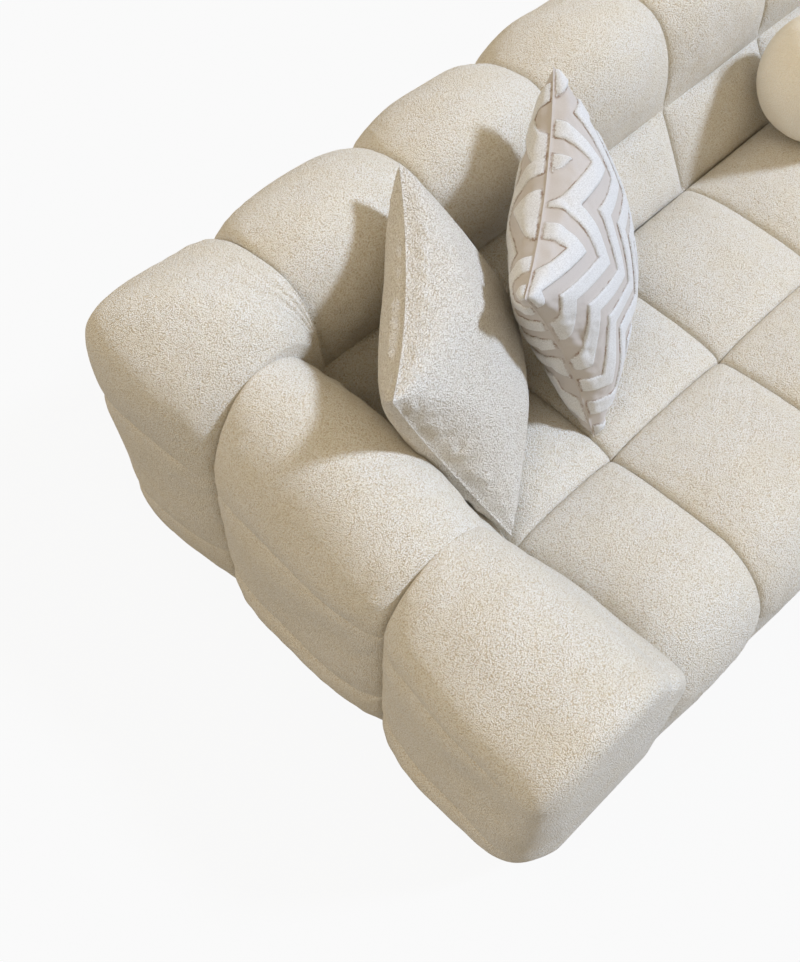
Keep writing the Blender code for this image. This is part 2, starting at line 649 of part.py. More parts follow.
def square_pillow(name, finish):
    """A knife-edged square pillow in its own xz plane, its sides drawn in between the corners."""
    line = np.sin(np.linspace(-1, 1, PILLOW_STEPS + 1) * math.pi / 2)
    a, b = np.meshgrid(line, line, indexing="ij")
    half = PILLOW_SIDE / 2
    x = a * (half - PILLOW_PULL * (1 - b**2))
    z = b * (half - PILLOW_PULL * (1 - a**2))
    y = PILLOW_THICKNESS / 2 * ((1 - a**2) * (1 - b**2)) ** PILLOW_FULLNESS
    front = np.stack((x, -y, z), -1).reshape(-1, 3)
    rear = np.stack((x, y, z), -1).reshape(-1, 3)
    count = PILLOW_STEPS + 1
    faces = []
    for shift in (0, count * count):
        for i in range(PILLOW_STEPS):
            for j in range(PILLOW_STEPS):
                k = shift + i * count + j
                faces.append((k, k + 1, k + count + 1, k + count))
    return add_object(name, np.concatenate((front, rear)), faces, finish, smooth=True)


def ball_pillow(name, finish):
    mesh = bpy.data.meshes.new(name)
    work = bmesh.new()
    bmesh.ops.create_uvsphere(work, u_segments=BALL_SEGMENTS, v_segments=BALL_RINGS, radius=BALL_RADIUS)
    work.to_mesh(mesh)
    work.free()
    mesh.shade_smooth()
    mesh.materials.append(finish)
    piece = bpy.data.objects.new(name, mesh)
    bpy.context.scene.collection.objects.link(piece)
    return piece


def world_mesh(piece):
    """Evaluated points and triangles of a piece in the sofa's frame."""
    bpy.context.view_layer.update()
    shown = piece.evaluated_get(bpy.context.evaluated_depsgraph_get())
    mesh = shown.to_mesh()
    mesh.calc_loop_triangles()
    points = [shown.matrix_world @ v.co for v in mesh.vertices]
    triangles = [tuple(t.vertices) for t in mesh.loop_triangles]
    shown.to_mesh_clear()
    return points, triangles


def settle(piece, direction, neighbours):
    """Moves a piece along direction until it nearly touches the first neighbour.

    Rays from the points of both give the travel; edges that cross even so are backed off in steps.
    """
    direction = Vector(direction).normalized()
    own_points, own_triangles = world_mesh(piece)
    own = BVHTree.FromPolygons(own_points, own_triangles)
    trees, travel = [], math.inf
    for neighbour in neighbours:
        points, triangles = world_mesh(neighbour)
        tree = BVHTree.FromPolygons(points, triangles)
        trees.append(tree)
        for rays, target, way in ((own_points, tree, direction), (points, own, -direction)):
            for point in rays:
                distance = target.ray_cast(point, way)[3]
                if distance is not None:
                    travel = min(travel, distance)

    def crosses(distance):
        moved = [point + direction * distance for point in own_points]
        body = BVHTree.FromPolygons(moved, own_triangles)
        return any(body.overlap(tree) for tree in trees)

    while crosses(travel):
        travel -= SETTLE_STEP
    piece.location += direction * (travel - GAP)


def lay_pillow(piece, at, turn, lean, roll, neighbours):
    """Stands a leaning pillow over the left seat and lowers it until it touches."""
    start = Vector(place(-1, (ARM_LINE + at[0], at[1], SEAT_Z + PILLOW_SIDE)))
    tilt = Matrix.Rotation(-lean, 4, "X") @ Matrix.Rotation(-roll, 4, "Y")
    piece.matrix_world = Matrix.Translation(start) @ Matrix.Rotation(turn, 4, "Z") @ tilt
    settle(piece, (0, 0, -1), neighbours)


def centre(pads):
    """Hangs each module on an empty at its joint, the sofa's box centred from front to back."""
    depths = [point.y for pad in pads for point in world_mesh(pad)[0]]
    middle = (min(depths) + max(depths)) / 2
    pieces = list(bpy.data.objects)
    for prefix in ("left", "right"):
        holder = bpy.data.objects.new(f"{prefix}_module", None)
        bpy.context.scene.collection.objects.link(holder)
        holder.location.y = -middle
        loose = ("plain_pillow", "patterned_pillow") if prefix == "left" else ("ball_pillow",)
        for piece in pieces:
            if piece.name.startswith(prefix) or piece.name in loose:
                piece.parent = holder


def main():
    clear_scene()
    finishes = {
        "cover": material("cream_boucle", (0.80, 0.74, 0.62), 0.95),
        "timber": material("pine_timber", (0.60, 0.43, 0.26), 0.7),
        "webbing": material("jute_webbing", (0.45, 0.36, 0.24), 0.9),
        "cloth": material("black_dust_cloth", (0.03, 0.03, 0.03), 0.95),
        "steel": material("zinc_steel", (0.62, 0.63, 0.64), 0.35, 1.0),
        "foot": material("black_foot", (0.02, 0.02, 0.02), 0.5),
        "pillow": material("ivory_boucle", (0.79, 0.76, 0.69), 0.95),
        "pattern": material("white_taupe_pile", (0.72, 0.67, 0.62), 0.95),
        "ball": material("tan_boucle", (0.66, 0.57, 0.44), 0.95),
    }
    left = module(-1, "left", finishes)
    right = module(1, "right", finishes)
    for number, y in enumerate((BASE_FRONT_Y + CONNECTOR_INSET, BASE_REAR_Y - CONNECTOR_INSET), 1):
        socket(f"left_connector_socket_{number}", y, finishes["steel"])
        tongue(f"right_connector_tongue_{number}", y, finishes["steel"])
    plain = square_pillow("plain_pillow", finishes["pillow"])
    lay_pillow(plain, PLAIN_PILLOW_AT, PLAIN_PILLOW_TURN, PLAIN_PILLOW_LEAN, PLAIN_PILLOW_ROLL, left)
    patterned = square_pillow("patterned_pillow", finishes["pattern"])
    lay_pillow(patterned, PATTERNED_PILLOW_AT, PATTERNED_PILLOW_TURN, PATTERNED_PILLOW_LEAN,
               PATTERNED_PILLOW_ROLL, left + [plain])
    ball = ball_pillow("ball_pillow", finishes["ball"])
    ball.location = Vector(place(1, (*BALL_AT, SEAT_Z + PILLOW_SIDE)))
    settle(ball, (0, 0, -1), right)
    centre(left + right)


main()
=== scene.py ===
"""Looks for a two-piece tufted sectional sofa: upholstery, loose pillows, timber, steel and feet.

Local coordinates of a module are (u, y, z): u runs outwards from the joint between the two
modules, y from the back line, negative to the front, and z from the bottom of the upholstery.
Every pad is a skeleton section carried along its length; each tile between two seams swells from
that skeleton along the section's normal. Metres throughout.
"""

import math

import bmesh
import bpy
import numpy as np
from mathutils import Matrix, Vector


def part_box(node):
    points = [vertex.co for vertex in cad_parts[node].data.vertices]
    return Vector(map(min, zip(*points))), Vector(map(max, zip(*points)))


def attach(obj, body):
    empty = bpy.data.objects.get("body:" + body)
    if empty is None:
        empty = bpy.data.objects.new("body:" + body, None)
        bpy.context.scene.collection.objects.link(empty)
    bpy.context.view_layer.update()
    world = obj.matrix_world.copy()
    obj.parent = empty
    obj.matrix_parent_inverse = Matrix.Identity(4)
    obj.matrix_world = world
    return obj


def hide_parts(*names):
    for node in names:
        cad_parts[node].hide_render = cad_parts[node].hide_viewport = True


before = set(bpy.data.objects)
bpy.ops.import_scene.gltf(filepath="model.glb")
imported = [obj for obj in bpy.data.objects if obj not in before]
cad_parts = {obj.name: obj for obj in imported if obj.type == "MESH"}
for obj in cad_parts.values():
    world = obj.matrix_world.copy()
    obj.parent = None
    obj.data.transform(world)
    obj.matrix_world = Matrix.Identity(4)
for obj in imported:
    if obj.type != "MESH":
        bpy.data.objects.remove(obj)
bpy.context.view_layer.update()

# Seat
GAP = 0.0003  # clearance between pieces that touch
MODULE_GAP = 0.0006  # between the two modules
COLUMN = 0.300  # width of one tufted column
COLUMNS = 3  # on each module
REAR_ROW = 0.315  # depth of the rear row of seat tiles
FRONT_ROW = 0.340
SEAT_Z = 0.238  # height of the tuft points
SEAT_CROWN = 0.060  # rise of a tile over its tuft points
SEAT_SEAM_RISE = 0.029  # rise of a seam between two tuft points
SEAT_FRONT_RADIUS = 0.105  # waterfall front edge
SEAT_FRONT_LIP = 0.008
BORDER_CROWN = 0.022  # swell of the seat's front face and of the border under it
BORDER_DEPTH = 0.035
BORDER_UNEVEN = 0.4  # share of the usual unevenness

# Back, arm and corner
BACK_REACH = 0.067  # how far the lower tile comes forward of the back line
BACK_DEPTH = 0.274  # from the back line to the outer seams
BACK_NOTCH = (0.020, 0.391)  # seam between lower tile and roll
BACK_CREST = 0.575
ARM_REACH = 0.060
ARM_WIDTH = 0.237
ARM_NOTCH = (0.010, 0.345)
ARM_CREST_REAR = 0.523
ARM_CREST_FRONT = 0.428
ARM_TOP_CROWN = 0.022
ARM_SIDE_CROWN = 0.034
ARM_LOW_CROWN = 0.047
ARM_DOME = 0.110  # length of the domed front end
ARM_DOME_POWER = 3.2
ARM_UPPER_DOME = 0.065  # the outer front corner is tighter above the bands
ARM_DOME_HEIGHTS = (0.10, 0.30)  # between which it tightens
ARM_EDGE = 0.028  # length of the rounding over the front edge of the arm's top
ARM_EDGE_POWER = 2.6
ARM_EDGE_DROP = 0.10  # share of its height by which the top edge falls there
ARM_INNER_DRAW = 0.22  # share by which the inner edge is drawn in there
ARM_CAP_Z = 0.20  # height of the middle of the front end
ARM_NOSE = 0.006  # how far the front end leads above its foot
ARM_NOSE_HEIGHTS = (0.04, 0.26)
ARM_FRONT_LEAD = 0.014  # how far the front end stands ahead of the seat's front plane
ARM_FRONT_FULLNESS = 1.36  # the front tile is fuller on its outer side
ARM_FRONT_SHARE = 0.7  # share of the front tile's run where the dome begins
CAP_END = 0.02  # size of the last shrinking copy in the front end
DOME_END = 0.70  # share of the dome's quarter turn before its end is filled
CORNER_INNER_Z = 0.415  # pull where arm, corner and back meet
CORNER_SQUARENESS = 7.0  # 2 would be a round corner
CORNER_EASE = 0.220  # over which the crown grows from the inner corner
CORNER_TOP_CROWN = 0.066
CORNER_SIDE_CROWN = 0.030
CORNER_LOW_CROWN = 0.027
CORNER_RUN = (1.8, 1.1)  # power and fullness of its crown along the turn
CORNER_SEAM_LIFT = 0.012  # the seam between corner and back lies fuller at the rear
CORNER_LIFT_DEPTHS = (0.10, 0.22)
CORNER_LIFT_HEIGHTS = (0.25, 0.40)
ARM_SEAM_LIFT = 0.010  # the seam between corner and arm lies fuller on its top
ARM_LIFT_INNER = (0.01, 0.08)
ARM_LIFT_OUTER = (-0.23, -0.13)
ARM_LIFT_HEIGHTS = (0.36, 0.44)
PLEATS = 7  # small pleats round the inner corner
PLEAT_DEPTH = 0.003
PLEAT_REACH = 0.036
CORNER_REAR_SLACK = 0.28  # share by which its crown is less beside the back
CORNER_RISE = 0.016  # rise of the crest half way round
UPPER_BAND_Z = 0.3435  # seam under the roll on the outer side
LOWER_BAND_Z = 0.112  # seam over the lowest band
BACK_ROLL_POWER = 2.4  # superellipse power of the rolls
ARM_ROLL_POWER = 2.1
ROLL_FOOT = (0.7, 1.0)  # shares of a roll over which its crown becomes the side's
ROLL_LIP = 0.6  # share of a roll from which its lip may dive
BACK_TOP_CROWN = 0.042
BACK_SIDE_CROWN = 0.038
BACK_LOW_CROWN = 0.038
TILE_CROWN = 0.030  # lower front tile
BOTTOM_TUCK = 0.120  # height over which the outer side draws in to the bottom edge
BAND_LIP = 0.055  # length over which a band's rounded lip dives into its seam
BAND_SEAM_CROWN = 0.006  # what is left of the crown on the seam
BAND_LIP_SHARE = 0.55  # share of that dive on the arms and backs
CORNER_LIP_SHARE = 0.4  # the seams round the corner are shallower
CORNER_BAND_RISE = 0.032  # the corner's upper seam climbs round the outside
ARM_LIP_FADE = (0.02, 0.21)  # behind the arm's front, where the lips begin and are full
CREASE = 0.006  # narrow stitched crease of a seam
CREASE_WIDTH = 0.0035
CREASE_GROWTH = 4  # a crease has its full depth from a quarter of the swell
ARM_CREASE_SHARE = 0.2  # the creases across the arm fade on its top
OUTER_CREASE_SHARE = 2.2  # and are deeper down its outer side
FRAME_SETBACK = 0.100  # from the back line to the timber back frame

# Hand of the upholsterer: how uneven the filling is and how much the cover gathers at the seams
UNEVEN_LENGTH = 0.150
UNEVEN_HEIGHT = 0.0022
GATHER_LENGTH = 0.030
GATHER_HEIGHT = 0.0008

# Pillows
PILLOW_SIDE = 0.430
PILLOW_THICKNESS = 0.170
PLAIN_PILLOW_TURN = (43, 26, 3)  # about the vertical, backwards, in its own plane, in degrees
PATTERNED_PILLOW_TURN = (34, 20, 8.5)
PILLOW_CUT = 0.450  # side of a flat sheet
PILLOW_START = (0.03, 0.06, 0.55)  # draw, half thickness and power that the simulation starts from
PILLOW_FLAT = (0, 0.002, 1)  # and those of the flat cut
PILLOW_CLOTH_FRAMES = 26
PILLOW_PRESSURE = 4.0
PILLOW_PINCH = 0.88  # how far the sewn edge is pinched in
PILLOW_PINCH_WIDTH = 0.006
PILLOW_SEAM_MARGIN = 0.03  # where gathers run
PILLOW_UNEVEN = 0.002
PILLOW_DRAW = 0.012  # how far the filling draws a side in
PILLOW_PLUMP = 0.42  # power of the cushion shape, smaller is fuller at the sides
PLAIN_PILLOW_CURL = 0.028  # how far the side that leans on the arm curls back
PILLOW_FOLDS = 0.45  # share of the simulated folds over the plain cushion shape
PILE_HEIGHT = 0.0045
PILE_SLOPE = (-0.0012, 0.0028)  # distances from its edge over which a band rises
PILE_PITCH = 0.056  # of the raised bands
PILE_SHARE = 0.54
PILE_MARGIN = 0.004  # kept clear of pile along the sewn edge
ZIGZAG = 0.1675  # length of one zigzag
ZIGZAG_SLOPE = 1.0
ZIGZAG_START = -0.0447
ZIGZAG_TURN = 18.0  # of the zigzag against the pillow's sides, in degrees
BALL_SLACK = 0.008  # shares of the ball's radius
BALL_UNEVEN = 0.006
BALL_UNEVEN_LENGTH = 0.9

# Derived places
BACK_CROWNS = (BACK_TOP_CROWN, BACK_SIDE_CROWN, BACK_LOW_CROWN)
ARM_LINE = COLUMN * COLUMNS
DECK_Z = SEAT_Z - SEAT_FRONT_RADIUS - SEAT_FRONT_LIP
SEAT_WIDTH = ARM_LINE - ARM_REACH
SEAT_BACK_Y = -BACK_REACH
TUFT_Y = SEAT_BACK_Y - REAR_ROW
FRONT_Y = TUFT_Y - FRONT_ROW
ARM_FRONT_Y = FRONT_Y - ARM_FRONT_LEAD
BACK_LINE_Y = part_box("left_back_frame")[0].y - FRAME_SETBACK
BOTTOM_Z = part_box("left_front_border")[0].z

# Samples
TILE_SAMPLES = 60  # across one column
ROW_SAMPLES = 48  # along one seat row
LOWER_TILE_SAMPLES = 22
ROLL_SAMPLES = 110
BAND_SAMPLES = 36
LOW_BAND_SAMPLES = 24
WATERFALL_SAMPLES = 30
DOME_SAMPLES = 44
CAP_SAMPLES = 14
FOOT_SAMPLES = 48
CORNER_SAMPLES = 84
PILLOW_SAMPLES = 64  # across a sheet that is filled
PILLOW_FINE = 200  # across a finished sheet
BALL_SAMPLES = 160
MERGE = 1e-6  # distance under which points become one
SHARP_ANGLE = 60.0  # in degrees

# Tip, hollow and warm patches of the looped yarns; the darker hollow colour is partly the yarn's tan and
# partly painted shade between the loops
CREAM = ((0.91, 0.89, 0.84), (0.60, 0.49, 0.33), (0.90, 0.86, 0.77))
IVORY = ((0.91, 0.88, 0.82), (0.56, 0.48, 0.38), (0.90, 0.86, 0.78))
TAN = ((0.97, 0.92, 0.81), (0.92, 0.83, 0.67), (0.96, 0.90, 0.78))

# Photograph's camera, light and floor
CAMERA_AT = (-1.644, -0.70871, 2.058)
CAMERA_AZIMUTH = -44.63
CAMERA_ELEVATION = 57.92
CAMERA_LENS = 45.13
CAMERA_SENSOR = 36.0
TO_KEY_LIGHT = (0.54, -0.46, 0.70)
KEY_COLOUR = (0.85, 1.0, 1.27)
KEY_STRENGTH = 2.55
KEY_ANGLE = 7.0  # size of the lamp in the sky, in degrees
TO_FILL_LIGHT = (-0.62, 0.30, 0.72)
FILL_COLOUR = (1.0, 0.88, 0.72)
FILL_STRENGTH = 0.95
FILL_ANGLE = 70.0
SKY_COLOUR = (1.0, 0.85, 0.60)
SKY_STRENGTH = 0.45
FLOOR_COLOUR = (0.30, 0.30, 0.30)
FLOOR_SIZE = 40.0
FLOOR_WHITE = 0.93  # share of plain white that the camera sees


class Amount:
    """A number, colour or vector that a material works out; arithmetic on numbers adds Math nodes."""

    def __init__(self, nodes, socket):
        self.nodes = nodes
        self.socket = socket

    def maths(self, operation, *values):
        return self.nodes.node("ShaderNodeMath", {"operation": operation}, dict(enumerate(values)))

    def __add__(self, other):
        return self.maths("ADD", self, other)

    def __sub__(self, other):
        return self.maths("SUBTRACT", self, other)

    def __rsub__(self, other):
        return self.maths("SUBTRACT", other, self)

    def __mul__(self, other):
        return self.maths("MULTIPLY", self, other)

    __radd__ = __add__
    __rmul__ = __mul__


class Nodes:
    """A node tree; node() adds one node of a type, with its settings and the values of its sockets."""

    def __init__(self, owner):
        owner.use_nodes = True
        self.tree = owner.node_tree

    def put(self, socket, value):
        if isinstance(value, Amount):
            self.tree.links.new(value.socket, socket)
        else:
            socket.default_value = value

    def node(self, kind, settings=(), sockets=(), output=0):
        made = self.tree.nodes.new(kind)
        for name, value in dict(settings).items():
            setattr(made, name, value)
        for name, value in dict(sockets).items():
            self.put(made.inputs[name], value)
        return Amount(self, made.outputs[output])


class Finish(Nodes):
    """A material around one shader, with the patterns that the fabrics and woods are made of."""

    def __init__(self, name, **constants):
        self.material = bpy.data.materials.new(name)
        super().__init__(self.material)
        self.shader = self.tree.nodes["Principled BSDF"]
        for socket, value in constants.items():
            self.put(self.shader.inputs[socket.replace("_", " ")], value)

    def place(self):
        return self.node("ShaderNodeTexCoord", output="Object")

    def stretched(self, place, scale):
        return self.node("ShaderNodeMapping", {}, {"Vector": place, "Scale": scale})

    def noise(self, place, scale, detail=2.0, roughness=0.5, distortion=0.0, output="Fac"):
        sockets = {"Vector": place, "Scale": scale, "Detail": detail,
                   "Roughness": roughness, "Distortion": distortion}
        return self.node("ShaderNodeTexNoise", {}, sockets, output)

    def cells(self, place, scale, smoothness):
        settings = {"feature": "SMOOTH_F1"}
        sockets = {"Vector": place, "Scale": scale, "Smoothness": smoothness}
        return self.node("ShaderNodeTexVoronoi", settings, sockets, "Distance")

    def shifted(self, place, direction, length):
        """A place moved by a direction, whose middle value 0.5 is no move, times a length."""
        centred = self.node("ShaderNodeVectorMath", {"operation": "SUBTRACT"},
                            {0: direction, 1: (0.5, 0.5, 0.5)})
        settings = {"operation": "MULTIPLY_ADD"}
        return self.node("ShaderNodeVectorMath", settings, {0: centred, 1: (length,) * 3, 2: place})

    def smooth(self, value, low, high):
        settings = {"interpolation_type": "SMOOTHSTEP"}
        sockets = {"Value": value, "From Min": low, "From Max": high}
        return self.node("ShaderNodeMapRange", settings, sockets)

    def mixed(self, share, first, second):
        first, second = ((*c, 1.0) if isinstance(c, tuple) else c for c in (first, second))
        return self.node("ShaderNodeMix", {"data_type": "RGBA"}, {0: share, 6: first, 7: second}, 2)

    def relief(self, height, distance, strength=1.0):
        sockets = {"Height": height, "Distance": distance, "Strength": strength}
        self.put(self.shader.inputs["Normal"], self.node("ShaderNodeBump", {}, sockets))

    def colour(self, value):
        self.put(self.shader.inputs["Base Color"], value)
        return self


def boucle(name, tip, hollow, warm, loop=0.0020, depth=1.0):
    """Looped yarn: small cells, drawn out along the weft, give pale nubs over darker hollows, partly
    painted shade.
    """
    finish = Finish(name, Roughness=0.95, Sheen_Weight=0.1, Sheen_Roughness=0.5)
    at = finish.place()
    weft = finish.stretched(at, (0.75, 1.0, 1.0))
    wander = finish.noise(at, 0.8 / loop, 0.0, output="Color")
    loops = finish.cells(finish.shifted(weft, wander, 0.8 * loop), 1 / loop, 0.05)
    yarn = finish.noise(at, 1.6 / loop, 0.0)
    height = 1 - finish.smooth(loops + (yarn - 0.5) * 0.4, 0.1, 1.2)
    patches = finish.noise(at, 14.0, 4.0, 0.65)
    base = finish.mixed(finish.smooth(patches, 0.35, 0.7), tip, warm)
    # painted shade: the colour falls to the darker hollow colour where the loops are low
    finish.colour(finish.mixed(height, hollow, base))
    finish.relief(height, depth * loop)
    return finish.material


def tufted_pile(name):
    """Cut pile in bands over a flat woven ground, told apart by the distance from a band's edge."""
    finish = Finish(name, Roughness=0.95, Sheen_Weight=0.2, Sheen_Roughness=0.5)
    at = finish.place()
    edge = finish.node("ShaderNodeAttribute", {"attribute_name": "pile_edge"}, output="Fac")
    ragged = edge + (finish.noise(at, 350.0, 2.0) - 0.5) * 0.003
    pile = finish.smooth(ragged, -0.0002, 0.0010)
    outline = finish.smooth(ragged, -0.0018, -0.0008) * (1 - pile)
    tufts = finish.noise(at, 520.0, 3.0, 0.7)
    weave = finish.noise(finish.stretched(at, (1.0, 3.0, 1.0)), 500.0, 2.0, 0.6)
    ground = finish.mixed(weave, (0.47, 0.43, 0.40), (0.63, 0.58, 0.54))
    # a dark brown line on the ground along the foot of each raised band, broken into patches
    outline_patches = finish.smooth(finish.noise(at, 60.0), 0.4, 0.65)
    ground = finish.mixed(outline * outline_patches, ground, (0.30, 0.22, 0.17))
    white = finish.mixed(finish.smooth(tufts, 0.3, 0.65), (0.64, 0.63, 0.62), (0.86, 0.86, 0.86))
    finish.colour(finish.mixed(pile, ground, white))
    finish.relief(pile * tufts + weave * 0.15, 0.0022, 0.9)
    return finish.material


def pine(name):
    """Planed softwood: stretched noise for the grain lines between early and late wood."""
    finish = Finish(name, Roughness=0.6)
    at = finish.place()
    rings = finish.noise(finish.stretched(at, (0.6, 9.0, 9.0)), 9.0, 4.0, 0.6, 1.2)
    lines = finish.smooth(rings, 0.42, 0.62)
    finish.colour(finish.mixed(lines, (0.66, 0.50, 0.31), (0.47, 0.30, 0.15)))
    finish.relief(rings, 0.0006, 0.4)
    return finish.material


def jute(name):
    """Woven webbing: two crossed waves for the yarns."""
    finish = Finish(name, Roughness=0.9)
    at = finish.place()
    sockets = {"Vector": at, "Scale": 95.0, "Distortion": 1.5, "Detail Scale": 2.0}
    weft = finish.node("ShaderNodeTexWave", {"bands_direction": "X"}, sockets)
    warp = finish.node("ShaderNodeTexWave", {"bands_direction": "Y"}, sockets)
    weave = weft * warp
    finish.colour(finish.mixed(weave, (0.24, 0.17, 0.09), (0.55, 0.43, 0.27)))
    finish.relief(weave, 0.001, 0.7)
    return finish.material


def dust_cloth(name):
    """Black non-woven cloth with a fine felted speckle."""
    finish = Finish(name, Roughness=0.95)
    felt = finish.noise(finish.place(), 600.0, 3.0, 0.7)
    finish.colour(finish.mixed(felt, (0.012, 0.012, 0.013), (0.05, 0.05, 0.052)))
    finish.relief(felt, 0.0006, 0.6)
    return finish.material


def zinc(name):
    """Zinc-plated steel with faint spangle."""
    finish = Finish(name, Metallic=1.0)
    at = finish.place()
    spangle = finish.noise(at, 60.0, 3.0, 0.6)
    finish.colour(finish.mixed(spangle, (0.50, 0.51, 0.53), (0.70, 0.71, 0.72)))
    finish.put(finish.shader.inputs["Roughness"], 0.28 + spangle * 0.2)
    finish.relief(finish.noise(at, 900.0, 1.0), 0.0002, 0.3)
    return finish.material


def black_foot(name):
    """Black stained wood: fine grain under a satin coat."""
    finish = Finish(name, Coat_Weight=0.25)
    at = finish.place()
    grain = finish.noise(finish.stretched(at, (1.0, 1.0, 0.12)), 320.0, 3.0, 0.6)
    finish.colour(finish.mixed(grain, (0.012, 0.011, 0.010), (0.045, 0.040, 0.036)))
    finish.put(finish.shader.inputs["Roughness"], 0.38 + grain * 0.2)
    finish.relief(grain, 0.0003, 0.4)
    return finish.material


def swell(share, power=2.4, fullness=0.75):
    """Crown of a tile across its width, 0 on both seams and 1 in the middle: (1 - |2s - 1|^p)^f."""
    return np.clip(1 - np.abs(2 * np.asarray(share, float) - 1) ** power, 0, 1) ** fullness


def tile_run(share, outer, power=2.1, fullness=0.9):
    """Crown of a roll along its tile: a gentle arch on top, fuller ends on the outer part."""
    return swell(share, power, fullness) * (1 - outer) + swell(share, 3.0, 0.6) * outer


def ramp(value, low, high):
    """Smooth step from 0 below low to 1 above high: t^2 (3 - 2 t)."""
    t = np.clip((np.asarray(value, float) - low) / (high - low), 0, 1)
    return t * t * (3 - 2 * t)


def crease(distance):
    """Depth of a stitched seam at a distance from it, falling off exponentially."""
    return CREASE * np.exp(-np.abs(distance) / CREASE_WIDTH)


def seam_run(share):
    """Rise of a seam between two tuft points, steep beside them and level between."""
    return swell(share, 2.5, 0.45)


def end_distance(share, width):
    """Distance from the nearer end of a tile of a width."""
    return np.minimum(share, 1 - share) * width


def seam_steps(count):
    """Shares from 0 towards 1, close together beside both seams: (1 - cos(pi t)) / 2."""
    return (1 - np.cos(np.pi * np.arange(count) / count)) / 2


def tangents(points):
    """Unit directions along a line of points."""
    along = np.gradient(points, axis=0)
    return along / np.linalg.norm(along, axis=1)[:, None]


def ripple(points, length, seed, waves=16):
    """Smooth unevenness of about unit height: a mean of plane waves in seeded directions."""
    draw = np.random.default_rng(seed)
    way = draw.normal(size=(waves, 3))
    way /= np.linalg.norm(way, axis=1)[:, None]
    way *= 2 * np.pi / (length * draw.uniform(0.7, 1.5, (waves, 1)))
    return np.sin(points @ way.T + draw.uniform(0, 2 * np.pi, waves)).sum(-1) / math.sqrt(waves)


def handwork(points, fullness, seed):
    """Unevenness of the filling in the middle of a tile and small gathers beside its seams."""
    broad = ripple(points, UNEVEN_LENGTH, seed) * UNEVEN_HEIGHT * fullness
    gathers = ripple(points, GATHER_LENGTH, seed + 1) * GATHER_HEIGHT
    return broad + gathers * 4 * fullness * (1 - fullness)


def band_crown(z, full, lip, upper):
    """Crown of the outer side at a height: each band dives into its seams over an elliptical lip,
    1 - (1 - a^2)^0.5 with a from 0 at the lip's start to 1 on the seam."""
    dive = np.zeros_like(z)
    for seam in (upper, LOWER_BAND_Z):
        away = 1 - np.minimum(np.abs(z - seam) / BAND_LIP, 1)
        dive = np.maximum(dive, 1 - np.sqrt(1 - away**2))
    return full - lip * dive * (full - BAND_SEAM_CROWN)


class Section:
    """A closed outline: skeleton points (p, z), their normals, full crowns and swell shares."""

    def __init__(self):
        self.points, self.normals, self.crowns, self.swells = [], [], [], []

    def add(self, points, normals=None, crown=0.0, swells=None):
        points = np.asarray(points, float)
        swells = np.zeros(len(points)) if swells is None else swells
        normals = np.zeros_like(points) if normals is None else np.broadcast_to(normals, points.shape)
        self.points.append(points)
        self.normals.append(normals)
        self.crowns.append(np.broadcast_to(crown, len(points)) * swells)
        self.swells.append(swells)
        return self

    def line(self, start, end, crown, shares):
        """A straight tile from start towards end, without its last point."""
        start, end = np.asarray(start, float), np.asarray(end, float)
        along = end - start
        normal = (-along[1], along[0]) / np.linalg.norm(along)
        return self.add(start + along * shares[:, None], normal, crown, swell(shares))

    def arch(self, start, end, crest, power, top_crown, foot_crown, lip, ease=None):
        """A superellipse arch from start over the crest to end, the roll of an arm or back.

        Its swell grows from the start, and its crown lessens towards its foot on the outer side."""
        share = seam_steps(ROLL_SAMPLES + 1)
        turn = share * np.pi
        bend = 2 / power
        across = np.sign(np.cos(turn)) * np.abs(np.cos(turn)) ** bend
        rise = np.abs(np.sin(turn)) ** bend
        middle, half = (start[0] + end[0]) / 2, (end[0] - start[0]) / 2
        spring = start[1] + (end[1] - start[1]) * (1 - across) / 2
        points = np.stack((middle - half * across, spring + (crest - (start[1] + end[1]) / 2) * rise), 1)
        tangent = tangents(points)
        normals = np.stack((-tangent[:, 1], tangent[:, 0]), 1)
        swells = swell(np.minimum(share, 0.5), 3.0, 0.7)
        if ease is not None:
            swells = swells * np.clip(points[:, 0] / ease, 0, 1)
        crown = top_crown + (foot_crown - top_crown) * ramp(share, *ROLL_FOOT)
        crown = np.where(share > ROLL_LIP, band_crown(points[:, 1], crown, lip, end[1]), crown)
        return self.add(points[:-1], normals[:-1], crown[:-1], swells[:-1])

    def outer_side(self, depth, crown, low_crown, lip, upper=UPPER_BAND_Z):
        """The outer side below the roll: one swell with hollow band seams, tucked in at the bottom."""
        bands = ((upper, LOWER_BAND_Z, BAND_SAMPLES), (LOWER_BAND_Z, 0, LOW_BAND_SAMPLES))
        for high, low, count in bands:
            z = high + (low - high) * seam_steps(count)
            tuck = (1 - (1 - np.clip(z / BOTTOM_TUCK, 0, 1)) ** 2.4) ** 0.6
            points = np.column_stack((np.full(count, depth), z))
            full = low_crown + (crown - low_crown) * ramp(z, 0, upper)
            self.add(points, (1.0, 0.0), band_crown(z, full, lip, upper), tuck)
        return self

    def done(self):
        return tuple(np.concatenate(a) for a in (self.points, self.normals, self.crowns, self.swells))


def bolster_section(reach, depth, notch, crest, power, crowns, lip=BAND_LIP_SHARE):
    """Section of the back or an arm: reclined lower tile, roll and outer bands."""
    on_line = reach / (reach + notch[0])
    shares = np.sort(np.append(seam_steps(LOWER_TILE_SAMPLES), on_line))
    section = Section().add([(-reach, 0)])
    section.line((-reach, SEAT_Z), notch, TILE_CROWN, shares)
    section.arch(notch, (depth, UPPER_BAND_Z), crest, power, *crowns[:2], lip)
    section.outer_side(depth, *crowns[1:], lip)
    return section.add([(depth, 0), (0, 0)]).done()


def section_fold(points):
    """The two points of a bolster section on the back or arm line, where its mitre folds."""
    return int(np.argmin(np.abs(points[1 : LOWER_TILE_SAMPLES + 2, 0]))) + 1, len(points) - 1


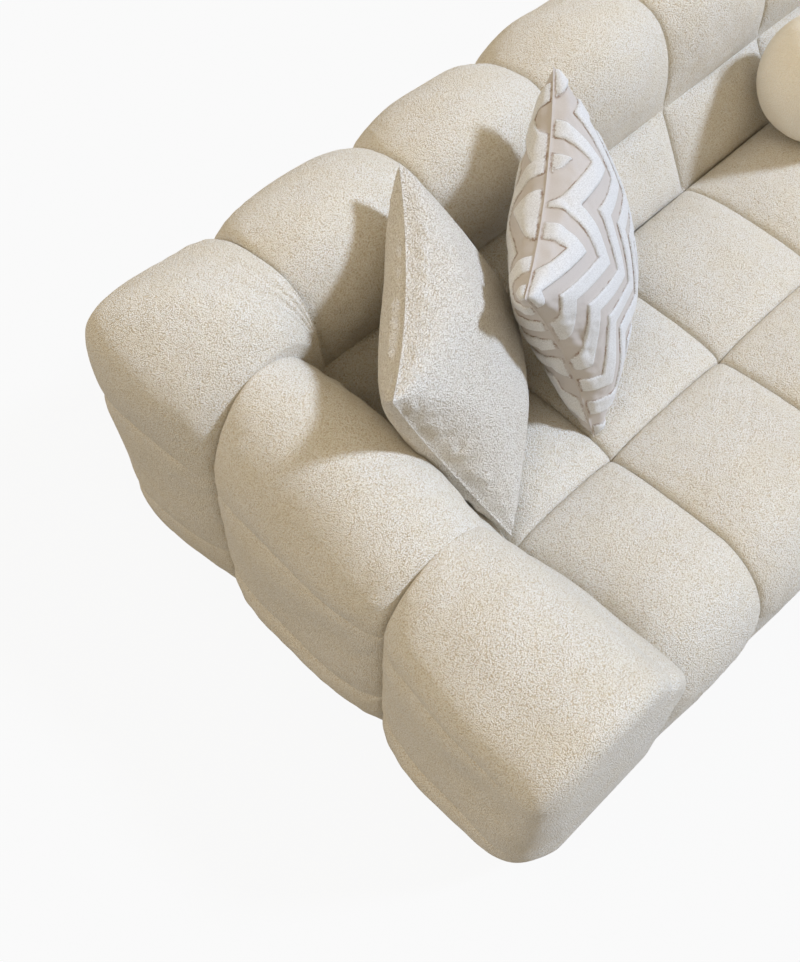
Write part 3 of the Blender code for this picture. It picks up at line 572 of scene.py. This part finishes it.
def corner_section(depth, crest, power, upper):
    """Section of the corner block, from the inner corner over the roll to the outer bands."""
    section = Section().add([(0, 0)])
    section.arch((0, CORNER_INNER_Z), (depth, upper), crest, power, CORNER_TOP_CROWN, CORNER_SIDE_CROWN,
                 CORNER_LIP_SHARE, CORNER_EASE)
    section.outer_side(depth, CORNER_SIDE_CROWN, CORNER_LOW_CROWN, CORNER_LIP_SHARE, upper)
    return section.add([(depth, 0)]).done()


def sofa_place(side, points):
    """Local module points in the sofa's frame; side is -1 for left and 1 for right."""
    return points * (side, 1, 1) + (0, BACK_LINE_Y, BOTTOM_Z)


def add_piece(name, vertices, faces, finish, values=()):
    """A closed smooth body, its doubles merged and its faces turned outwards; values are kept by point."""
    mesh = bpy.data.meshes.new(name)
    mesh.from_pydata(vertices.tolist(), [], faces)
    for label, numbers in dict(values).items():
        mesh.attributes.new(label, "FLOAT", "POINT").data.foreach_set("value", numbers)
    work = bmesh.new()
    work.from_mesh(mesh)
    bmesh.ops.remove_doubles(work, verts=work.verts, dist=MERGE)
    bmesh.ops.recalc_face_normals(work, faces=work.faces)
    if work.calc_volume(signed=True) < 0:
        bmesh.ops.reverse_faces(work, faces=work.faces)
    work.to_mesh(mesh)
    work.free()
    mesh.shade_smooth()
    mesh.set_sharp_from_angle(angle=math.radians(SHARP_ANGLE))
    mesh.materials.append(finish)
    piece = bpy.data.objects.new(name, mesh)
    bpy.context.scene.collection.objects.link(piece)
    return piece


def loft(name, rings, finish, cap_splits=(None, None)):
    """A closed body through rings of points, capped at both ends; a folded cap is split in two."""
    count, around = rings.shape[:2]
    index = np.arange(count * around).reshape(count, around)
    ahead = np.roll(index, -1, axis=1)
    quads = np.stack((index[:-1], ahead[:-1], ahead[1:], index[1:]), -1).reshape(-1, 4)
    faces = quads.tolist()
    for loop, split in zip((index[0].tolist(), index[-1].tolist()), cap_splits):
        if split is None:
            faces.append(loop)
        else:
            first, last = split
            faces += [loop[first : last + 1], loop[last:] + loop[: first + 1]]
    return add_piece(name, rings.reshape(-1, 3), faces, finish)


def column_slices(starts, widths):
    """Place, share along its tile and column of each slice across the tufted columns."""
    share = np.append(np.tile(seam_steps(TILE_SAMPLES), len(starts)), 1.0)
    column = np.append(np.repeat(np.arange(len(starts)), TILE_SAMPLES), len(starts) - 1)
    return np.asarray(starts)[column] + np.asarray(widths)[column] * share, share, column


def column_starts(end):
    """Where the tufted columns of a module start, and their widths up to an end."""
    starts = np.array([MODULE_GAP / 2] + [COLUMN * k for k in range(1, COLUMNS)])
    return starts, np.diff(np.append(starts, end))


def solid_of(module, part):
    """Name of the solid of a part of a module."""
    return f"{module.removesuffix('_module')}_{part}"


def add_pad(side, module, name, part, rings, finish, cap_splits=(None, None)):
    """A pad through rings in local coordinates; it stands for the solid of a part of its module."""
    piece = loft(f"{module}_{name}_cover", sofa_place(side, rings), finish, cap_splits)
    node = solid_of(module, part)
    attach(piece, module)
    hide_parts(node)


def carried(u, points):
    """A section of points (y, z) repeated at each place u."""
    rings = np.empty((len(u), len(points), 3))
    rings[..., 0] = u[:, None]
    rings[..., 1:] = points
    return rings


def seat_front():
    """Skeleton of the front row from the tuft line over the waterfall edge to the deck.

    Gives its points, the share of the whole run down to the bottom edge, and how far each point
    lies over the edge.
    """
    radius = SEAT_FRONT_RADIUS
    edge = FRONT_Y + radius
    flat = 1 - np.cos(np.pi / 2 * np.arange(ROW_SAMPLES) / ROW_SAMPLES)
    top = np.column_stack((TUFT_Y + (edge - TUFT_Y) * flat, np.full(ROW_SAMPLES, SEAT_Z)))
    turns = np.linspace(0, np.pi / 2, WATERFALL_SAMPLES + 1)
    arc = np.column_stack((edge - radius * np.sin(turns), SEAT_Z - radius * (1 - np.cos(turns))))
    points = np.concatenate((top, arc, [(FRONT_Y, DECK_Z)]))
    run = np.concatenate(([0], np.cumsum(np.linalg.norm(np.diff(points, axis=0), axis=1))))
    return points, run / (run[-1] + DECK_Z), np.clip((edge - points[:, 0]) / radius, 0, 1)


def seat_cushion(side, module, finish):
    """Two rows of tiles. A tile's height is its crown times the swells along and across it, and a
    seam rises between two tuft points by the seam's rise times the swell along it."""
    front, front_share, over = seat_front()
    tangent = tangents(front)
    rear_share = seam_steps(ROW_SAMPLES)
    rear = np.column_stack((SEAT_BACK_Y - GAP + (TUFT_Y - SEAT_BACK_Y) * rear_share,
                            np.full(ROW_SAMPLES, SEAT_Z)))
    points = np.concatenate((rear, front, [(SEAT_BACK_Y - GAP, DECK_Z)]))
    normals = np.concatenate((np.tile((0.0, 1.0), (ROW_SAMPLES, 1)),
                              np.stack((tangent[:, 1], -tangent[:, 0]), 1), [(0.0, 0.0)]))
    across = np.concatenate((swell(rear_share), swell(front_share), [0.0]))
    run_across = np.concatenate((seam_run(rear_share), seam_run(front_share), [0.0]))
    row_distance = np.concatenate((end_distance(rear_share, REAR_ROW), front_share * FRONT_ROW, [0.0]))
    over = np.concatenate((np.zeros(ROW_SAMPLES), over, [0.0]))
    beside_tuft = np.concatenate((rear_share > 0.5, front_share < 0.5, [False])).astype(float)
    full = SEAT_CROWN + (BORDER_CROWN - SEAT_CROWN) * over
    rise = SEAT_SEAM_RISE * (1 - over)
    starts, widths = column_starts(SEAT_WIDTH - GAP)
    u, share, column = column_slices(starts, widths)
    along = swell(share)[:, None]
    beside_seam = np.where((column == COLUMNS - 1) & (share > 0.5), 0.0, 1.0)[:, None]
    crown = full * along * across
    seams = beside_seam * run_across * (1 - along)
    seams = seams + beside_tuft * seam_run(share)[:, None] * (1 - across)
    crown = crown + rise * seams
    crown = crown - crease(end_distance(share, widths[column]))[:, None] * (across > 0)
    crown = crown - crease(row_distance) * (1 - over)
    skeleton = carried(u, points)
    crown = crown + handwork(skeleton, along * across, 11 + side)
    skeleton[..., 1:] += normals * crown[..., None]
    add_pad(side, module, "seat_cushion", "seat_cushion", skeleton, finish)


def front_border(side, module, finish):
    """The padded band under the seat's front edge; it goes on with the swell of the seat's front."""
    top = DECK_Z - GAP
    seam_share = seat_front()[1][-1]
    levels = top * (1 - np.linspace(0, 1, BAND_SAMPLES) ** 0.8)
    across = swell(1 - (1 - seam_share) * levels / DECK_Z)
    u, share, _ = column_slices(*column_starts(SEAT_WIDTH - GAP))
    rings = np.empty((len(u), len(levels) + 2, 3))
    rings[..., 0] = u[:, None]
    rings[:, :2, 1:] = [(FRONT_Y + BORDER_DEPTH, 0), (FRONT_Y + BORDER_DEPTH, top)]
    fullness = swell(share)[:, None] * across
    rings[:, 2:, 1] = FRONT_Y - BORDER_CROWN * fullness
    rings[:, 2:, 2] = levels
    rings[:, 2:, 1] -= BORDER_UNEVEN * handwork(rings[:, 2:], fullness, 11 + side)
    add_pad(side, module, "front_border", "front_border", rings, finish)


def back_pad(side, module, finish):
    """The bolster section carried along the columns, drawn in on a mitre in its last column."""
    form = (BACK_REACH, BACK_DEPTH, BACK_NOTCH, BACK_CREST, BACK_ROLL_POWER, BACK_CROWNS)
    points, normals, crowns, swells = bolster_section(*form)
    starts, widths = column_starts(ARM_LINE - GAP)
    u, share, column = column_slices(starts, widths)
    mitre = np.clip(-points[:, 0], 0, None) * ARM_REACH / BACK_REACH
    rings = carried(u, points)
    rings[..., 0] -= mitre * np.where(column == COLUMNS - 1, share, 0.0)[:, None]
    along = tile_run(share[:, None], outer_part(points, BACK_DEPTH))
    height = crowns * along + handwork(rings, swells * along, 21 + side)
    height += corner_lift(points) * np.where(column == COLUMNS - 1, share**3, 0.0)[:, None]
    height -= crease(end_distance(share, widths[column]))[:, None] * np.minimum(1, CREASE_GROWTH * swells)
    rings[..., 1:] += normals * height[..., None]
    add_pad(side, module, "back", "back_pad", rings, finish, (None, section_fold(points)))


def arm_slices():
    """Place, share along its tile, tile width, mitre share and outer fullness of each slice."""
    dome_y = ARM_FRONT_Y + ARM_DOME
    rear = seam_steps(TILE_SAMPLES)
    front = rear[rear < ARM_FRONT_SHARE]
    turn = np.linspace(0, DOME_END * np.pi / 2, DOME_SAMPLES)
    ahead = np.sin(turn) ** (2 / ARM_DOME_POWER)
    y = np.concatenate((TUFT_Y * rear, TUFT_Y + (dome_y - TUFT_Y) * front / ARM_FRONT_SHARE,
                        dome_y - ARM_DOME * ahead))
    share = np.concatenate((rear, np.minimum(front, 0.5), np.full(DOME_SAMPLES, 0.5)))
    behind = np.arange(len(y)) < len(rear)
    width = np.where(behind, -TUFT_Y, 2 * (TUFT_Y - ARM_FRONT_Y))
    mitred = np.concatenate((1 - rear, np.zeros(len(front) + DOME_SAMPLES)))
    fullness = np.where(behind, 1.0, ARM_FRONT_FULLNESS)
    return np.stack((y, share, width, mitred, fullness), 1)


def rounded(y, length, power, front=ARM_FRONT_Y):
    """Scale of a slice in the last length before the arm's front, a superellipse quarter."""
    ahead = np.clip((front + length - y) / length, 0, 1)
    return (1 - ahead**power) ** (1 / power)


def arm_pad(side, module, finish):
    """The bolster section carried forward under a falling crest and closed by a domed front end.

    In the dome each slice is drawn in on a long superellipse on its outer side and on a short one on
    its inner side and over its top edge. Shrinking copies of the last slice, each further ahead by
    1 - s^2 for a size s, fill the end."""
    middle = (ARM_WIDTH - ARM_REACH) / 2
    slices = arm_slices()
    last_y = slices[-1, 0]
    rings = []
    for y, share, width, mitred, fullness in slices:
        crest = ARM_CREST_REAR + (ARM_CREST_FRONT - ARM_CREST_REAR) * max(y, FRONT_Y) / FRONT_Y
        sides = (ARM_TOP_CROWN, ARM_SIDE_CROWN * fullness, ARM_LOW_CROWN * fullness)
        lip = BAND_LIP_SHARE * ramp(y - ARM_FRONT_Y, *ARM_LIP_FADE)
        form = (ARM_REACH, ARM_WIDTH, ARM_NOTCH, crest, ARM_ROLL_POWER, sides, lip)
        points, normals, crowns, part = bolster_section(*form)
        mitre = np.clip(-points[:, 0], 0, None) * BACK_REACH / ARM_REACH
        along = np.full(len(points), y) - (GAP + mitre) * mitred
        place = np.column_stack((ARM_LINE + points[:, 0], along, points[:, 1]))
        outer = outer_part(points, ARM_WIDTH)
        run = tile_run(share, outer)
        height = crowns * run + handwork(place, part * run, 31 + side) + arm_lift(points) * mitred**3
        deep = ARM_CREASE_SHARE + (OUTER_CREASE_SHARE - ARM_CREASE_SHARE) * outer
        height -= crease(end_distance(share, width)) * deep * np.minimum(1, CREASE_GROWTH * part)
        ring = points + normals * height[:, None]
        edge = 1 - rounded(y, ARM_EDGE, ARM_EDGE_POWER, last_y)
        dome = ARM_DOME + (ARM_UPPER_DOME - ARM_DOME) * ramp(ring[:, 1], *ARM_DOME_HEIGHTS)
        reach = np.where(ring[:, 0] > middle, rounded(y, dome, ARM_DOME_POWER), 1 - ARM_INNER_DRAW * edge)
        lead = ARM_NOSE * ramp(ARM_FRONT_Y - y, -ARM_DOME, 0) * ramp(ring[:, 1], *ARM_NOSE_HEIGHTS)
        x = ARM_LINE + middle + (ring[:, 0] - middle) * reach
        z = ring[:, 1] * (1 - ARM_EDGE_DROP * edge)
        rings.append(np.column_stack((x, along - lead, z)))
    centre = np.array((ARM_LINE + middle, rings[-1][:, 1].mean(), ARM_CAP_Z))
    away = rings[-1] - centre
    for size in np.linspace(1, CAP_END, CAP_SAMPLES)[1:]:
        rings.append(centre + away * size - (0, (last_y - ARM_FRONT_Y) * (1 - size**2), 0))
    add_pad(side, module, "arm", "arm_pad", np.array(rings), finish, (section_fold(points), None))


def corner_lift(points):
    """How much fuller the seam between corner and back lies, over the rear of the roll."""
    across, z = points.T
    return CORNER_SEAM_LIFT * ramp(across, *CORNER_LIFT_DEPTHS) * ramp(z, *CORNER_LIFT_HEIGHTS)


def arm_lift(points):
    """How much fuller the seam between corner and arm lies, over the top of the roll."""
    across, z = points.T
    top = ramp(across, *ARM_LIFT_INNER) * ramp(-across, *ARM_LIFT_OUTER)
    return ARM_SEAM_LIFT * top * ramp(z, *ARM_LIFT_HEIGHTS)


def outer_part(points, depth):
    """Share of the outer side in a section, 0 on the roll's top and 1 on the bands."""
    return ramp(points[:, 0], 0.5 * depth, depth)


def pleats(points, share):
    """Small pleats round the inner corner: waves over the turn that fade out and start at zero."""
    near = points[:, 0] / PLEAT_REACH
    waves = math.sin(math.pi * PLEATS * share) ** 2 * math.exp(-2 * share)
    return PLEAT_DEPTH * near * np.exp(1 - near) * waves


def corner_pad(side, module, finish):
    """The corner section swept a quarter turn round the inner corner; its outside is squared by
    dividing the radius by the p-norm of the turn's cosine and sine."""
    rings = []
    for share in np.append(seam_steps(CORNER_SAMPLES), 1.0):
        turn = share * np.pi / 2
        depth = BACK_DEPTH + (ARM_WIDTH - BACK_DEPTH) * share
        crest = BACK_CREST + (ARM_CREST_REAR - BACK_CREST) * share + CORNER_RISE * swell(share)
        power = BACK_ROLL_POWER + (ARM_ROLL_POWER - BACK_ROLL_POWER) * share
        upper = UPPER_BAND_Z + CORNER_BAND_RISE * swell(share, 2.0, 1.0)
        points, normals, crowns, part = corner_section(depth, crest, power, upper)
        crowns = crowns * (1 - CORNER_REAR_SLACK * swell(min(2 * share, 1.0), 2.0, 1.0))
        square = math.cos(turn) ** CORNER_SQUARENESS + math.sin(turn) ** CORNER_SQUARENESS
        way = np.array((math.sin(turn), math.cos(turn))) * square ** (-1 / CORNER_SQUARENESS)
        place = np.column_stack((ARM_LINE + points[:, :1] * way[0], points[:, :1] * way[1], points[:, 1:]))
        outer = outer_part(points, depth)
        run = tile_run(share, outer, *CORNER_RUN)
        height = crowns * run + handwork(place, part * run, 41 + side)
        height += corner_lift(points) * (1 - share) ** 3 + arm_lift(points) * share**3
        height -= pleats(points, share)
        top = ARM_CREASE_SHARE if share > 0.5 else 1.0
        deep = top + (OUTER_CREASE_SHARE - top) * outer
        height -= crease(end_distance(share, 2 * depth)) * deep * np.minimum(1, CREASE_GROWTH * part)
        ring = points + normals * height[:, None]
        out, z = ring.T
        rings.append(np.column_stack((ARM_LINE + GAP + out * way[0], GAP + out * way[1], z)))
    add_pad(side, module, "corner", "corner_pad", np.array(rings), finish)


def turned_foot(name, module, node, finish):
    """A turned foot: a tapered profile with rounded edges, shares of its radius and height, spun round."""
    low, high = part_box(node)
    centre, height = (low + high) / 2, high.z - low.z
    top = (high.x - low.x) / 2
    profile = np.array([(0.60, 0.0), (0.675, 0.012), (0.715, 0.045), (0.86, 0.50), (0.985, 0.845),
                        (1.0, 0.865), (0.985, 0.885), (0.985, 0.985), (0.97, 1.0)])
    turn = np.linspace(0, 2 * np.pi, FOOT_SAMPLES, endpoint=False)
    spun = np.stack((np.outer(profile[:, 0] * top, np.cos(turn)) + centre.x,
                     np.outer(profile[:, 0] * top, np.sin(turn)) + centre.y,
                     np.repeat(low.z + profile[:, 1:] * height, len(turn), 1)), -1)
    piece = loft(name, spun, finish)
    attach(piece, module)
    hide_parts(node)
    return piece


def pillow_lay(node, turn):
    """Places a pillow made in its own xz plane: rolled, leant back, turned, and moved to its solid."""
    low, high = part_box(node)
    about, lean, roll = (math.radians(angle) for angle in turn)
    spin = Matrix.Rotation(about, 4, "Z") @ Matrix.Rotation(-lean, 4, "X") @ Matrix.Rotation(-roll, 4, "Y")
    return Matrix.Translation((low + high) / 2) @ spin


def sheet_faces(count, order):
    """Quads over a grid of count cells each way, whose points carry the numbers in order."""
    index = np.asarray(order).reshape(count + 1, count + 1)
    return np.stack((index[:-1, :-1], index[1:, :-1], index[1:, 1:], index[:-1, 1:]), -1).reshape(-1, 4)


def sheet_shares(count):
    """Shares from -1 to 1 across a square sheet, along its x and its z."""
    line = np.linspace(-1, 1, count + 1)
    return np.meshgrid(line, line, indexing="ij")


def filled_sheets():
    """Front and rear sheet of a sewn square cover filled by cloth pressure from its flat cut.

    It starts from a cushion shape, sides drawn in by 1 - a^2 and the thickness a power of
    (1 - a^2)(1 - b^2); a share of the simulated folds is laid over a plain shape of that kind."""
    a, b = (grid.ravel() for grid in sheet_shares(PILLOW_SAMPLES))
    hill = (1 - a**2) * (1 - b**2)
    inner = np.flatnonzero(hill > 0)
    rear = np.arange(len(a))
    rear[inner] = len(a) + np.arange(len(inner))

    def cushion(half, draw, thickness, plump):
        x, z = a * (half - draw * (1 - b**2)), b * (half - draw * (1 - a**2))
        y = thickness * hill**plump
        return np.concatenate((np.stack((x, -y, z), 1), np.stack((x, y, z), 1)[inner]))

    plain = cushion(PILLOW_SIDE / 2, PILLOW_DRAW, PILLOW_THICKNESS / 2, PILLOW_PLUMP)
    points = plain
    faces = np.concatenate((sheet_faces(PILLOW_SAMPLES, np.arange(len(a))),
                            sheet_faces(PILLOW_SAMPLES, rear)[:, ::-1]))
    start, cut = (cushion(PILLOW_CUT / 2, *shape) for shape in (PILLOW_START, PILLOW_FLAT))
    points = filled(start, cut, faces)
    points *= np.ptp(plain, axis=0) / np.ptp(points, axis=0)
    points = plain + PILLOW_FOLDS * (points - plain)
    shape = (PILLOW_SAMPLES + 1, PILLOW_SAMPLES + 1, 3)
    return points[: len(a)].reshape(shape), points[rear].reshape(shape)


def filled(start, cut, faces):
    """Points of a cover after cloth pressure without gravity, at rest in its flat cut."""
    scene = bpy.context.scene
    mesh = bpy.data.meshes.new("filling")
    mesh.from_pydata(start.tolist(), [], faces.tolist())
    work = bpy.data.objects.new("filling", mesh)
    scene.collection.objects.link(work)
    work.shape_key_add(name="start")
    flat = work.shape_key_add(name="cut")
    flat.data.foreach_set("co", cut.ravel())
    filling = work.modifiers.new("filling", "CLOTH")
    settings = filling.settings
    settings.quality = 6
    settings.mass = 0.15
    settings.tension_stiffness = settings.compression_stiffness = 30
    settings.shear_stiffness = 10
    settings.bending_stiffness = 1.0
    settings.tension_damping = settings.compression_damping = settings.shear_damping = 20
    settings.bending_damping = 1.0
    settings.air_damping = 5
    settings.use_pressure = True
    settings.uniform_pressure_force = PILLOW_PRESSURE
    settings.rest_shape_key = flat
    settings.effector_weights.gravity = 0
    filling.collision_settings.use_collision = False
    for step in range(1, PILLOW_CLOTH_FRAMES + 1):
        scene.frame_set(step)
    shown = work.evaluated_get(bpy.context.evaluated_depsgraph_get())
    points = np.empty(len(start) * 3)
    shown.data.vertices.foreach_get("co", points)
    bpy.data.objects.remove(work)
    scene.frame_set(1)
    return points.reshape(-1, 3)


def refined(grid, count):
    """A grid of points read at count cells each way, by Catmull-Rom cubics."""
    for _ in range(2):
        last = len(grid) - 1
        at = np.linspace(0, last, count + 1)
        first = np.minimum(at.astype(int), last - 1)
        t = (at - first)[:, None, None]
        longer = np.concatenate((2 * grid[:1] - grid[1:2], grid, 2 * grid[-1:] - grid[-2:-1]))
        p, q, r, s = (longer[first + step] for step in range(4))
        grid = q + t / 2 * (r - p + t * (2 * p - 5 * q + 4 * r - s + t * (3 * (q - r) + s - p)))
        grid = grid.swapaxes(0, 1)
    return grid


def band_edge(x, z, rear):
    """Signed distance from the edge of the nearest zigzag band, positive on the raised pile; the
    zigzag of the rear sheet is set off by half its length."""
    turn = math.radians(ZIGZAG_TURN)
    down = x * math.cos(turn) + z * math.sin(turn)
    out = z * math.cos(turn) - x * math.sin(turn)
    bend = np.abs(((down - ZIGZAG_START) / ZIGZAG + 0.5 + 0.5 * rear) % 1 - 0.5) * ZIGZAG
    phase = (bend - ZIGZAG_SLOPE * out) / math.hypot(1, ZIGZAG_SLOPE) / PILE_PITCH
    return (PILE_SHARE / 2 - np.abs(phase % 1 - 0.5)) * PILE_PITCH


def throw_pillow(node, turn, finish, seed, curl=0.0, piled=False):
    """A filled square pillow, pinched along its sewn edge, with raised bands of pile where piled."""
    sheets = np.array([refined(sheet, PILLOW_FINE) for sheet in filled_sheets()])
    size = sheets.max((0, 1, 2)) - sheets.min((0, 1, 2))
    sheets *= np.array((PILLOW_SIDE, PILLOW_THICKNESS, PILLOW_SIDE)) / size
    a, b = sheet_shares(PILLOW_FINE)
    sheets[..., 1] += curl * (1 - b**2) * ((1 - a) / 2) ** 3
    cut_x, cut_z = a * PILLOW_CUT / 2, b * PILLOW_CUT / 2
    distance = PILLOW_CUT / 2 - np.maximum(np.abs(cut_x), np.abs(cut_z))
    middle = sheets.mean(0)
    pinch = 1 - PILLOW_PINCH * np.exp(-(distance / PILLOW_PINCH_WIDTH) ** 2)
    sheets = middle + (sheets - middle) * pinch[..., None]
    inside = ramp(distance, 0, PILLOW_SEAM_MARGIN)
    edges = []
    for number, outwards in ((0, 1), (1, -1)):
        sheet = sheets[number]
        normal = np.cross(np.gradient(sheet, axis=0), np.gradient(sheet, axis=1))
        normal *= outwards / np.linalg.norm(normal, axis=-1)[..., None]
        height = PILLOW_UNEVEN * ripple(sheet, UNEVEN_LENGTH, seed + number) * inside
        gathers = 2 * GATHER_HEIGHT * ripple(sheet, GATHER_LENGTH, seed + number)
        height += gathers * inside * (1 - inside) * 4
        edges.append(np.minimum(band_edge(cut_x, cut_z, number), distance - PILE_MARGIN))
        if piled:
            height += PILE_HEIGHT * ramp(edges[-1], *PILE_SLOPE)
        sheets[number] = sheet + normal * (height * ramp(distance, 0, PILLOW_PINCH_WIDTH))[..., None]
    faces = sheet_faces(PILLOW_FINE, np.arange((PILLOW_FINE + 1) ** 2))
    both_faces = np.concatenate((faces, faces + faces.max() + 1)).tolist()
    values = {"pile_edge": np.array(edges).ravel()} if piled else ()
    piece = add_piece(f"{node}_cover", sheets.reshape(-1, 3), both_faces, finish, values)
    piece.data.transform(pillow_lay(node, turn))
    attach(piece, node)
    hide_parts(node)
    return piece


def ball_pillow(finish):
    """A stuffed ball: a sphere whose radius wavers a little with the filling."""
    low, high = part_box("ball_pillow")
    centre, radius = np.array((low + high) / 2), (high.z - low.z) / 2
    around = np.linspace(0, 2 * np.pi, BALL_SAMPLES, endpoint=False)
    down = np.linspace(0, np.pi, BALL_SAMPLES // 2)[1:-1]
    way = np.stack((np.outer(np.sin(down), np.cos(around)), np.outer(np.sin(down), np.sin(around)),
                    np.repeat(np.cos(down)[:, None], len(around), 1)), -1)
    reach = radius * (1 - BALL_SLACK + BALL_UNEVEN * ripple(way, BALL_UNEVEN_LENGTH, 51))
    piece = loft("ball_pillow_cover", centre + way * reach[..., None], finish)
    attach(piece, "ball_pillow")
    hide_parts("ball_pillow")
    return piece


def refinish(words, finish):
    """Gives every CAD node whose name holds one of the words a better material."""
    for name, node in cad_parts.items():
        if any(word in name for word in words):
            node.data.materials.clear()
            node.data.materials.append(finish)


def studio():
    """A white floor that keeps a soft shadow, a key and a fill light, a pale sky and the camera."""
    scene = bpy.context.scene
    scene.view_settings.view_transform = "Standard"
    floor_mesh = bpy.data.meshes.new("floor")
    half = FLOOR_SIZE / 2
    corners = [(-half, -half, 0), (half, -half, 0), (half, half, 0), (-half, half, 0)]
    floor_mesh.from_pydata(corners, [], [(0, 1, 2, 3)])
    floor = bpy.data.objects.new("floor", floor_mesh)
    scene.collection.objects.link(floor)
    paper = Finish("white_paper", Roughness=1.0)
    paper.put(paper.shader.inputs["Base Color"], (*FLOOR_COLOUR, 1))
    seen = paper.node("ShaderNodeLightPath", output="Is Camera Ray")
    for kind in ("Is Glossy Ray", "Is Transmission Ray"):
        seen = seen.maths("MAXIMUM", seen, paper.node("ShaderNodeLightPath", output=kind))
    glow = paper.node("ShaderNodeEmission", {}, {"Color": (1, 1, 1, 1), "Strength": 1.0})
    lit = Amount(paper, paper.shader.outputs[0])
    shown = paper.node("ShaderNodeMixShader", {}, {0: seen * FLOOR_WHITE, 1: lit, 2: glow})
    paper.put(paper.tree.nodes["Material Output"].inputs["Surface"], shown)
    floor_mesh.materials.append(paper.material)

    world = bpy.data.worlds.new("studio")
    scene.world = world
    sky = Nodes(world)
    seen = sky.node("ShaderNodeLightPath", output="Is Camera Ray")
    pale = sky.node("ShaderNodeBackground", {}, {"Color": (*SKY_COLOUR, 1), "Strength": SKY_STRENGTH})
    white = sky.node("ShaderNodeBackground", {}, {"Color": (1, 1, 1, 1)})
    shown = sky.node("ShaderNodeMixShader", {}, {0: seen, 1: pale, 2: white})
    sky.put(sky.tree.nodes["World Output"].inputs["Surface"], shown)

    lamps = (("key_light", TO_KEY_LIGHT, KEY_COLOUR, KEY_STRENGTH, KEY_ANGLE),
             ("fill_light", TO_FILL_LIGHT, FILL_COLOUR, FILL_STRENGTH, FILL_ANGLE))
    for name, towards, colour, strength, angle in lamps:
        lamp = bpy.data.objects.new(name, bpy.data.lights.new(name, "SUN"))
        lamp.data.color = colour
        lamp.data.energy = strength
        lamp.data.angle = math.radians(angle)
        lamp.rotation_euler = Vector(towards).to_track_quat("Z", "Y").to_euler()
        scene.collection.objects.link(lamp)

    camera = bpy.data.objects.new("camera", bpy.data.cameras.new("camera"))
    camera.data.lens = CAMERA_LENS
    camera.data.sensor_width = CAMERA_SENSOR
    azimuth, elevation = math.radians(CAMERA_AZIMUTH), math.radians(CAMERA_ELEVATION)
    back = Vector((math.sin(azimuth) * math.cos(elevation), -math.cos(azimuth) * math.cos(elevation),
                   math.sin(elevation)))
    camera.location = CAMERA_AT
    camera.rotation_euler = (-back).to_track_quat("-Z", "Y").to_euler()
    scene.collection.objects.link(camera)
    scene.camera = camera


def main():
    studio()
    cover = boucle("cream_boucle", *CREAM)
    ivory = boucle("ivory_boucle", *IVORY, loop=0.0024, depth=1.15)
    tan = boucle("tan_boucle", *TAN, loop=0.0022, depth=0.8)
    pile = tufted_pile("white_taupe_pile")
    foot = black_foot("black_foot")
    for side, module in ((-1, "left_module"), (1, "right_module")):
        seat_cushion(side, module, cover)
        front_border(side, module, cover)
        back_pad(side, module, cover)
        arm_pad(side, module, cover)
        corner_pad(side, module, cover)
        for corner in ("front_inner", "front_outer", "rear_inner", "rear_outer"):
            solid = solid_of(module, f"{corner}_foot")
            turned_foot(f"{module}_{corner}_turned_foot", module, solid, foot)
    throw_pillow("plain_pillow", PLAIN_PILLOW_TURN, ivory, 61, PLAIN_PILLOW_CURL)
    throw_pillow("patterned_pillow", PATTERNED_PILLOW_TURN, pile, 71, piled=True)
    ball_pillow(tan)
    refinish(("base_frame", "back_frame", "arm_frame", "corner_post"), pine("pine_timber"))
    refinish(("webbing_deck",), jute("jute_webbing"))
    refinish(("dust_cover",), dust_cloth("black_dust_cloth"))
    refinish(("inner_panel",), cover)
    refinish(("plate", "connector"), zinc("zinc_steel"))


main()
